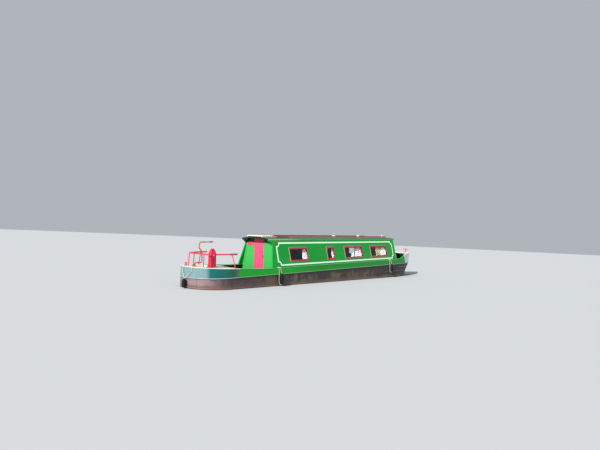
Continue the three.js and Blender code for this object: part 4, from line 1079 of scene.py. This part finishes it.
# Door mouldings, as (inset, out) round a panel, and handles with a plate of (out, half width), a lever and a keyhole
handle = {"plate": [(0.0003, 0.02), (0.003, 0.02), (0.0042, 0.0175)], "half": 0.075, "corner": 0.012, "leverRise": 0.02,
          "leverOut": 0.0085, "leverLong": 0.075, "leverRadius": 0.0045, "keyholeDrop": 0.04,
          "keyhole": [(0.009, 0.0), (0.009, 0.002), (0.005, 0.003)]}
moulding = [(0.0, 0.0003), (0.0025, 0.0039), (0.0088, 0.0065), (0.0165, 0.004875), (0.022, 0.0003), (0.011, -0.0003)]


def doorPanels(name, body, finish, face, out, y0, y1, heights):
    shape = Shape()
    for z0, z1 in heights:
        shape.loft([[at(face + out * lift, y, z) for y, z in
                     roundRect(y0 + inset, y1 - inset, z0 + inset, z1 - inset, max(0.02 - inset * 0.6, 0.004))]
                    for inset, lift in moulding], looped=True)
    shape.build(name, finish, body=body, angle=45)


def doorHandle(name, body, s, out, y, z, way):
    half, level, reach = handle["half"], z + handle["leverRise"], s + out * handle["leverOut"]
    plate = Shape().loft([[at(s + out * lift, y + a, z + b) for a, b in roundRect(-w, w, -half, half, handle["corner"])]
                          for lift, w in handle["plate"]])
    plate.tube(route([(s + out * 0.003, y, level), (reach, y, level), (reach, y + way * handle["leverLong"], level)],
                     0.003, 3), handle["leverRadius"], 12)
    plate.lathe(handle["keyhole"], 14, at(s + out * 0.0035, y, z - handle["keyholeDrop"]), (out, 0, 0))
    plate.build(name, "bronze", body=body, angle=45)


# The upper panel's moulding shares the door's painted shadow at the top.
doorPanels("aftDoorPanels", "aft_door", "doorRed", cabin["aft"], -1, -0.205, 0.205, ((1.62, 2.17), (0.96, 1.53)))
doorHandle("aftDoorHandle", "aft_door", cabin["aft"], -1, -0.222, 1.575, 1)
for name, side in sides.items():
    doorPanels("frontDoorPanels_" + name, "front_door_" + name, "palePaint", cabin["end"], 1,
               *sorted((side * 0.05, side * 0.35)), ((1.56, 2.08), (0.96, 1.47)))
doorHandle("frontDoorHandle", "front_door_starboard", cabin["end"], 1, -0.032, 1.515, -1)
slat = Shape().box((-0.138, -0.0075, -0.001), (0.138, 0.0075, 0.001), Matrix.Rotation(math.radians(38), 3, "X"))
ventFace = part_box("vent_panel")[0].x - 0.003
scattered("ventSlats", [((ventFace, 0.47, z), (-1, 0, 0), math.pi / 2) for z in spaced(2.005, 2.095, 6)], slat,
          "doorRed")
print("hatches and doors made")


# Under the water: rudder, propeller and anodes
rudder = {"outline": [(-3.06, 0.004), (-3.045, 0.0062), (-2.86, 0.0158), (-2.8, 0.0165), (-2.64, 0.0158),
                      (-2.585, 0.0105), (-2.572, 0.005)], "stockRadius": 0.0247, "bands": (0.17, 0.39)}
outline = rudder["outline"]
blade = Shape().loft([[at(s, y * k, z) for s, y in outline] + [at(s, -y * k, z) for s, y in outline[::-1]]
                      for z, k in ((0.0603, 0.7), (0.064, 1.0), (0.496, 1.0), (0.4997, 0.7))])
blade.blocks(*((-2.98, -2.66, -0.0195, 0.0195, z - 0.02, z + 0.02) for z in rudder["bands"]))
blade.build("rudderBlade", "blacking", body="rudder", stands="rudder", bevel=0.0015, steps=1, angle=30)
bars("rudderStock", [[at(stock, 0, 0.0605), at(stock, 0, 1.384)]], rudder["stockRadius"], "steel", 24, body="rudder")

propeller = {"station": -2.4, "level": 0.27, "radius": 0.218, "root": 0.034, "blades": 3, "pitch": (54, 32),
             "hub": [(0.02, 0.0), (0.034, 0.004), (0.041, 0.02), (0.0418, 0.06), (0.038, 0.0795)],
             "shaft": [(0.0195, 0.079), (0.0195, 0.8742)]}


def bladeRing(t):      # t runs from the root to the tip
    chord = 0.045 + 0.04 * math.sin(math.pi * min(t * 1.15, 1.0)) if t < 0.93 else 0.045 * (1 - (t - 0.93) / 0.1)
    pitch = math.radians(propeller["pitch"][0] - propeller["pitch"][1] * t ** 0.8)
    thick = 0.0075 * (1 - 0.75 * t)
    height = propeller["root"] + (propeller["radius"] - propeller["root"]) * t
    section = [(-chord * math.cos(a), thick * math.sin(a)) for a in around(20)]
    return [Vector((-0.035 + math.sin(pitch) * length * 0.55 + math.cos(pitch) * across,
                    math.cos(pitch) * length - math.sin(pitch) * across, height)) for length, across in section]


wheel = Shape()
for angle in around(propeller["blades"]):
    turn = Matrix.Rotation(angle, 3, "X")
    wheel.loft([[at(propeller["station"], 0, propeller["level"]) + turn @ p for p in bladeRing(t)]
                for t in spaced(0, 1, 14)])
hub = at(propeller["station"] - 0.0748, 0, propeller["level"])
wheel.lathe(propeller["hub"], 28, hub, (1, 0, 0)).lathe(propeller["shaft"], 24, hub, (1, 0, 0))
wheel.build("propellerWheel", "bronze", body="propeller", stands="propeller", angle=50)

swim = {"start": -2.29, "run": 3.19, "stern": 0.045, "spread": 0.965, "power": 1.15}
anode = {"places": [(-1.55, 0.26), (1.5, 0.16), (8.0, 0.16)],
         # (out, half length, half width, corner, steps)
         "block": [(0.0, 0.14, 0.045, 0.02, 4), (0.012, 0.138, 0.043, 0.02, 4), (0.03, 0.118, 0.03, 0.02, 4)],
         "strap": [(0.0, 0.175, 0.013, 0.006, 2), (0.005, 0.175, 0.013, 0.006, 2)]}


def swimHalf(s):      # half width where the hull narrows to the propeller
    share = math.sin(math.pi / 2 * clamp((s - swim["start"]) / swim["run"]))
    return swim["stern"] + swim["spread"] * share ** swim["power"]


anodes = Shape()
for side in bothSides:
    for s, level in anode["places"]:
        slope = (swimHalf(s + 0.05) - swimHalf(s - 0.05)) / 0.1
        facing, length = Vector((-slope, side, 0)).normalized(), Vector((1, side * slope, 0)).normalized()
        base = at(s, side * ((swimHalf(s) if s < hull["swimEnd"] else halfAt(s, level)) + 0.0005), level)
        for layers in (anode["block"], anode["strap"]):
            anodes.loft([[base + length * x + upward * y + facing * out for x, y in roundRect(-a, a, -b, b, r, steps)]
                         for out, a, b, r, steps in layers])
anodes.build("anodes", "zinc", angle=50)
print("underwater gear made")

# Engine in its room, on bearers. Castings are (place, way, sides, profile).
engine = {"block": [(-1.44, -0.84, -0.15, 0.15, 0.16, 0.30), (-1.42, -0.86, -0.13, 0.13, 0.29, 0.53),
                    (-1.40, -0.88, -0.105, 0.105, 0.53, 0.575), (-0.84, -0.80, -0.14, 0.14, 0.22, 0.52)],
          "ribs": spaced(-1.38, -0.9, 4), "pipes": (-1.34, -1.2, -1.06, -0.92), "bearers": (-0.19, 0.19),
          "castings": [
              ((-1.44, 0, 0.36), -1, 28, [(0.15, -0.02), (0.15, 0.01), (0.1, 0.04), (0.095, 0.055)]),
              ((-0.80, 0, 0.27), 1, 28, [(0.07, -0.004), (0.07, 0.03), (0.055, 0.034), (0.055, 0.044), (0.07, 0.05),
                                         (0.07, 0.056)]),
              ((-0.80, 0.02, 0.46), 1, 24, [(0.05, -0.004), (0.05, 0.035), (0.04, 0.04), (0.04, 0.048),
                                            (0.05, 0.054)]),
              ((-0.96, 0.18, 0.45), 1, 22, [(0.045, -0.06), (0.05, -0.05), (0.05, 0.05), (0.045, 0.06),
                                            (0.012, 0.062), (0.012, 0.1), (0.03, 0.102), (0.03, 0.12)])]}
Shape().blocks(*engine["block"], *((s - 0.012, s + 0.012, -0.138, 0.138, 0.31, 0.51) for s in engine["ribs"])).build(
    "engineBlock", "engineGreen", stands="engine", bevel=0.008)
rocker = Shape().loft([[at(-1.14 + x, y, z) for x, y in roundRect(-a, a, -b, b, 0.03, 4)]
                       for z, a, b in ((0.573, 0.25, 0.085), (0.625, 0.25, 0.085), (0.642, 0.232, 0.068))])
rocker.lathe([(0.03, -0.004), (0.03, 0.014), (0.024, 0.02)], 20, at(-1.28, 0, 0.642))
rocker.lathe([(0.012, -0.004), (0.012, 0.016), (0.018, 0.02), (0.018, 0.03)], 16, at(-0.93, 0, 0.642))
rocker.build("engineRocker", "red")
lathed("engineCastings", "steel", *((at(*place), (way, 0, 0), *row) for place, way, *row in engine["castings"]))
bars("enginePipes", [route([(s, -0.11, 0.56), (s, -0.165, 0.55), (s + 0.05, -0.185, 0.46), (-1.1, -0.2, 0.46)], 0.03, 4)
                     for s in engine["pipes"]], 0.006, "steel", 8)
bars("engineHoses", [route([(-0.86, -0.06, 0.6), (-0.76, -0.06, 0.62), (-0.74, -0.1, 0.45), (-0.74, -0.16, 0.2)], 0.05),
                     route([(-1.36, 0.12, 0.5), (-1.36, 0.2, 0.5), (-1.46, 0.2, 0.42), (-1.49, 0.2, 0.2)], 0.05)],
     0.019, "rubber")
Shape().tube(route([(-0.92, 0.14, 0.53), (-1.3, 0.14, 0.53), (-1.42, 0.16, 0.50), (-1.47, 0.16, 0.40)], 0.05), 0.028, 16
             ).build("engineManifold", "steel")
bearers = Shape()
for y in engine["bearers"]:
    bearers.blocks((-1.45, -0.75, y - 0.035, y + 0.035, 0.0125, 0.11), (-1.36, -1.26, y - 0.03, y + 0.03, 0.11, 0.16),
                   (-0.96, -0.86, y - 0.03, y + 0.03, 0.11, 0.16))
bearers.build("engineBearers", "blacking", bevel=0.003)
print("engine made")

# Foredeck stud, lamp and round side vent
stud = {"station": 12.15, "bolts": 0.056, "post": [(0.075, 0.0), (0.075, 0.011), (0.071, 0.014), (0.034, 0.017),
                                                   (0.027, 0.03), (0.026, 0.12), (0.026, 0.172)],
        "bar": [(0.008, 0.0), (0.017, 0.004), (0.02, 0.014), (0.02, 0.286), (0.017, 0.296), (0.008, 0.3)]}
studFoot = at(stud["station"], 0, deckTop(stud["station"]) + 0.0006)
lathed("mooringStud", "red", (studFoot, upward, 28, stud["post"]),
       (studFoot + Vector((0, -0.15, 0.165)), (0, 1, 0), 24, stud["bar"]), stands="foredeck_stud", angle=50)
scattered("studBolts", boltRing(studFoot + upward * 0.013, stud["bolts"], 6), bolt, "steel")
lamp = {"station": 9.40, "profile": [(0.034, -0.004), (0.034, 0.006), (0.012, 0.009), (0.011, 0.05), (0.03, 0.058),
                                     (0.034, 0.085), (0.026, 0.104), (0.01, 0.11)]}
lathed("foreLamp", "white", (at(lamp["station"], 0, roofZ(0)), upward, 24, lamp["profile"]), angle=50)
sideVent = {"station": 0.40, "level": 2.088, "radius": 0.072,
            # (radius share, out)
            "profile": [(1, 0.0), (1, 0.0045), (0.93, 0.0085), (0.82, 0.0085), (0.79, 0.004), (0.3, 0.005),
                        (0.27, 0.009), (0.1, 0.0105)]}
lathed("sideVent", "bronze", (onCabin(-1, sideVent["station"], slopeOf(sideVent["level"]), 0.0002),
                              onCabin(-1, 0, 0, 1) - onCabin(-1, 0, 0, 0), 36,
                              [(sideVent["radius"] * r, h) for r, h in sideVent["profile"]]), angle=50)

# Inside: partitions with a gap to pass, lockers, ceiling, a shelf with a jug, a board behind the fourth window
inside = {"partitions": [(2.75, 0.001), (4.30, 0.2), (6.55, 0.15), (8.78, 0.2)], "wall": 0.86, "floor": 0.201,
          "outline": [(0.88, 0.2008), (0.88, 1.2), (0.858, 1.26), (0.668, 2.06), (0.655, 2.205)],
          # (start, end, side, height, depth)
          "lockers": [(1.2, 2.6, 1, 0.66, 0.5), (2.9, 4.2, -1, 1.1, 0.55), (4.5, 6.3, 1, 1.1, 0.55),
                      (4.9, 6.3, -1, 0.62, 0.5), (6.8, 8.6, 1, 0.62, 0.62), (6.9, 8.6, -1, 0.62, 0.3)],
          "board": (7.52, 7.93)}
partitions, lockers = Shape(), Shape()
for s, gap in inside["partitions"]:
    for side in bothSides:
        partitions.loft([[at(s + x, side * y, z) for y, z in [(gap, 0.2008), *inside["outline"], (gap, 2.22)]]
                         for x in (0.0, 0.02)])
partitions.build("cabinPartitions", "lining", bevel=0.002, steps=1)
for s0, s1, side, high, deep in inside["lockers"]:
    a, b = sorted((side * inside["wall"], side * (inside["wall"] - deep)))
    lockers.blocks((s0, s1, a, b, inside["floor"], high),
                   (s0 - 0.01, s1 + 0.01, a, b - 0.01 if side > 0 else b + 0.01, high, high + 0.022))
lockers.build("cabinLockers", "wood", bevel=0.003)
acrossCeiling = spaced(-0.64, 0.64, 12)
Shape().loft([[at(s, y, roofZ(y) - 0.0512) for y in acrossCeiling]
              + [at(s, y, roofZ(y) - 0.06) for y in reversed(acrossCeiling)] for s in (0.72, 9.30)]).build(
    "cabinCeiling", "lining", angle=50)
jug = {"station": 5.56, "behind": 0.16, "handle": [(-0.058, 0.27), (-0.14, 0.26), (-0.085, 0.08)], "profile": [
    (0.07, 0.0), (0.085, 0.02), (0.09, 0.1), (0.07, 0.19), (0.052, 0.25), (0.062, 0.3), (0.058, 0.3), (0.048, 0.25)]}
jugAt = onCabin(-1, jug["station"], windowLow - 0.01, -jug["behind"])
Shape().box(jugAt + Vector((-0.55, -0.07, -0.022)), jugAt + Vector((0.45, 0.09, 0.0))).build(
    "galleyShelf", "wood", bevel=0.002)
jugHandle = rounded([jugAt + Vector((x, 0, z)) for x, z in jug["handle"]], 0.05)
Shape().lathe(jug["profile"], 28, jugAt).tube(jugHandle, 0.009, 10).build("galleyJug", "white", angle=60)
board = roundRect(*inside["board"], windowLow + 0.02, windowHigh - 0.03, 0.012)
Shape().loft([[onCabin(-1, x, y, out) for x, y in board] for out in (-0.062, -0.056)]).build("windowBoard", "beige")
print("inside made")

# Ribbed fenders on their lines
fender = {"stations": [0.3, 8.52], "y": 1.1253, "top": 1.01, "length": 0.4, "radius": 0.065, "ribs": 9,
          "line": 0.0078, "turnsPerMetre": 22.0, "eye": (0.013, 0.0045), "knot": 0.0062,
          # (radius share, drop) of the upper end, mirrored below
          "end": [(0.2, 0.0), (0.34, 0.002), (0.36, 0.016), (0.62, 0.022), (0.86, 0.034), (0.97, 0.056)],
          # (station, y, height) of the two lines, for the starboard side
          "main": [(0, 0.94, 1.2285), (0, 1.044, 1.2285), (0, 1.054, 1.2), (0, 1.105, 1.06), (0, 1.1253, 1.016)],
          "down": [(-0.05, 0.94, 1.2285), (-0.085, 1.044, 1.2285), (-0.085, 1.0545, 1.2), (-0.085, 1.0705, 1.0),
                   (-0.085, 1.0705, 0.70), (-0.06, 1.09, 0.615), (-0.006, 1.1253, 0.601)]}
sternFender = {"station": -3.1953, "top": 0.95, "length": 0.29, "radius": 0.075, "spread": 0.236, "deck": -3.07}


def makeFender(name, base, length, radius, stands):      # base is the top, the body hangs below it
    span = (length - 0.16) / fender["ribs"]
    ribs = [(share, -0.08 - span * k - span * drop) for k in range(fender["ribs"])
            for share, drop in ((0.95, 0), (1, 0.3), (1, 0.7))]
    profile = [(r, -z) for r, z in fender["end"]] + ribs + [(r, z - length) for r, z in fender["end"][::-1]]
    lathed(name, "rubber", (base, upward, 30, [(radius * r, z) for r, z in profile]), stands=stands, angle=60)


def makeEyes(name, *eyes):      # eyes of (centre, axis)
    shape = Shape()
    for centre, axis in eyes:
        shape.tube(circle(centre, axis, fender["eye"][0], degrees(0, 361, 18)), fender["eye"][1], 8)
    shape.build(name, "steel")


def makeLines(name, paths):
    grown(curveOf(paths), ropeTree, {"Radius": fender["line"], "Turns per metre": fender["turnsPerMetre"]}, name,
          "rope")


for name, side in sides.items():
    for i, s in enumerate(fender["stations"]):
        label, base = f"{name}_{i + 1}", at(s, side * fender["y"], fender["top"])
        makeFender("fender_" + label, base, fender["length"], fender["radius"], "fender_" + label)
        makeEyes("fenderEyes_" + label, (base + upward * 0.004, (0, 1, 0)),
                 (base - upward * (fender["length"] + 0.004), (1, 0, 0)))
        makeLines("fenderLines_" + label, [route([(s + x, side * y, z) for x, y, z in fender[line]], 0.008, 3)
                                           for line in ("main", "down")])
        Shape().tube([at(s - 0.028 + 0.016 * math.cos(a), side * (0.945 + 0.014 * math.sin(a)),
                         1.234 + 0.006 * math.sin(2 * a)) for a in degrees(0, 541, 20)], fender["knot"], 10).build(
            "fenderKnot_" + label, "rope", angle=60)
base = at(sternFender["station"], 0, sternFender["top"])
makeFender("fenderStern", base, sternFender["length"], sternFender["radius"], "stern_fender")
makeEyes("fenderEyeStern", (base + upward * 0.004, (1, 0, 0)))
deckZ, turn = deckTop(sternFender["deck"]), math.acos(sternFender["spread"] / hull["half"])
overEdge = ((-0.11, deckZ + 0.009), (0.003, deckZ + 0.009), (0.0135, deckZ - 0.02), (0.0135, 1.2))
makeLines("fenderLinesStern", [rounded([*(sternPoint(turn, side, z, out) for out, z in overEdge),
                                        base + upward * 0.012], 0.008, 3) for side in bothSides])
print("fenders made")


# Floor at the waterline, open where the hull is
def waterZ(s):
    return water["level"] - water["trim"] * s


def makeFloor():
    inset, middle, outline = 0.02, 4.6, []
    for side in bothSides:
        half = [(hull["stern"] - (hull["half"] - inset) * math.sin(a), (hull["half"] - inset) * math.cos(a))
                for a in degrees(88, -1, -4)]
        half += [(s, halfAt(s, waterZ(s)) - inset) for s in spaced(-1.9, 11.6, 60)]
        half.append((bowPoint(1, waterZ(12.1))[0] - 0.03, 0.0))
        outline += [(s, side * y) for s, y in (half if side < 0 else half[-2::-1])]
    count, rim = len(outline), []
    for s, y in outline:
        away = Vector((s - middle, y * 6)).normalized() * water["reach"]
        rim.append(at(middle + away.x, away.y, waterZ(middle + away.x)))
    mesh = bpy.data.meshes.new("floor")
    mesh.from_pydata([at(s, y, waterZ(s)) for s, y in outline] + rim, [],
                     [(i, (i + 1) % count, count + (i + 1) % count, count + i) for i in range(count)])
    mesh.materials.append(newMaterial("pale floor", Base_Color=(0.51, 0.53, 0.55, 1), Roughness=0.9,
                                      Specular_IOR_Level=0.15)[0])
    floor = bpy.data.objects.new("floor", mesh)
    bpy.context.scene.collection.objects.link(floor)


makeFloor()

# Finishes of the CAD nodes that stay
plain = {
    "blacking": ["base_plate", "counter_plate", "stern_post", "swim_starboard", "swim_port"],
    "deckPaint": ["aft_deck", "foredeck", "engine_hatch", "locker_lid"],
    # Both wells take the painted shade.
    "sideDeck": ["side_deck_starboard", "side_deck_port"], "wellDark": ["aft_well", "fore_well"],
    # The aft bulkhead carries painted sunlight and shade, and the door a painted shadow across its top.
    "wood": ["cabin_floor"], "bulkheadGreen": ["aft_bulkhead"], "doorRed": ["aft_door", "vent_panel"],
    "cabinGreen": ["cabin_side_starboard", "cabin_side_port", "front_bulkhead", "front_door_starboard",
                   "front_door_port"],
}
for finish, names in plain.items():
    for name in names:
        nodes[name].data.materials.clear()
        nodes[name].data.materials.append(looks[finish])
print("plain nodes finished")

# Light and camera
light = {"toSun": (-0.82, -0.16, 0.57), "strength": 5.4, "spread": 2.0, "tint": (1.0, 0.97, 0.92), "world": 0.5,
         "sky": (0.86, 0.92, 1.0, 1)}
sun = bpy.data.objects.new("key light", bpy.data.lights.new("key light", "SUN"))
sun.data.energy, sun.data.angle, sun.data.color = light["strength"], math.radians(light["spread"]), light["tint"]
sun.rotation_euler = Vector(light["toSun"]).to_track_quat("Z", "Y").to_euler()
world = bpy.data.worlds.new("studio")
world.use_nodes = True
background = world.node_tree.nodes["Background"].inputs
background[0].default_value, background[1].default_value = light["sky"], light["world"]

camera = {"place": (-17.0424, -12.5799, 2.7184), "forward": (0.76616, 0.64263, 0.00535),
          "up": (-0.02204, 0.01795, 0.99960), "lens": 27.9}
eye = bpy.data.objects.new("camera", bpy.data.cameras.new("camera"))
eye.data.lens, eye.data.sensor_width, eye.data.clip_end = camera["lens"], 36.0, 500.0
ahead = Vector(camera["forward"]).normalized()
right = ahead.cross(Vector(camera["up"]).normalized()).normalized()
aim = Matrix((right, right.cross(ahead), -ahead)).transposed().to_4x4()
eye.matrix_world = Matrix.Translation(camera["place"]) @ aim
for thing in (sun, eye):
    bpy.context.scene.collection.objects.link(thing)
bpy.context.scene.camera, bpy.context.scene.world = eye, world
bpy.context.scene.view_settings.view_transform = "Standard"

print("scene done")
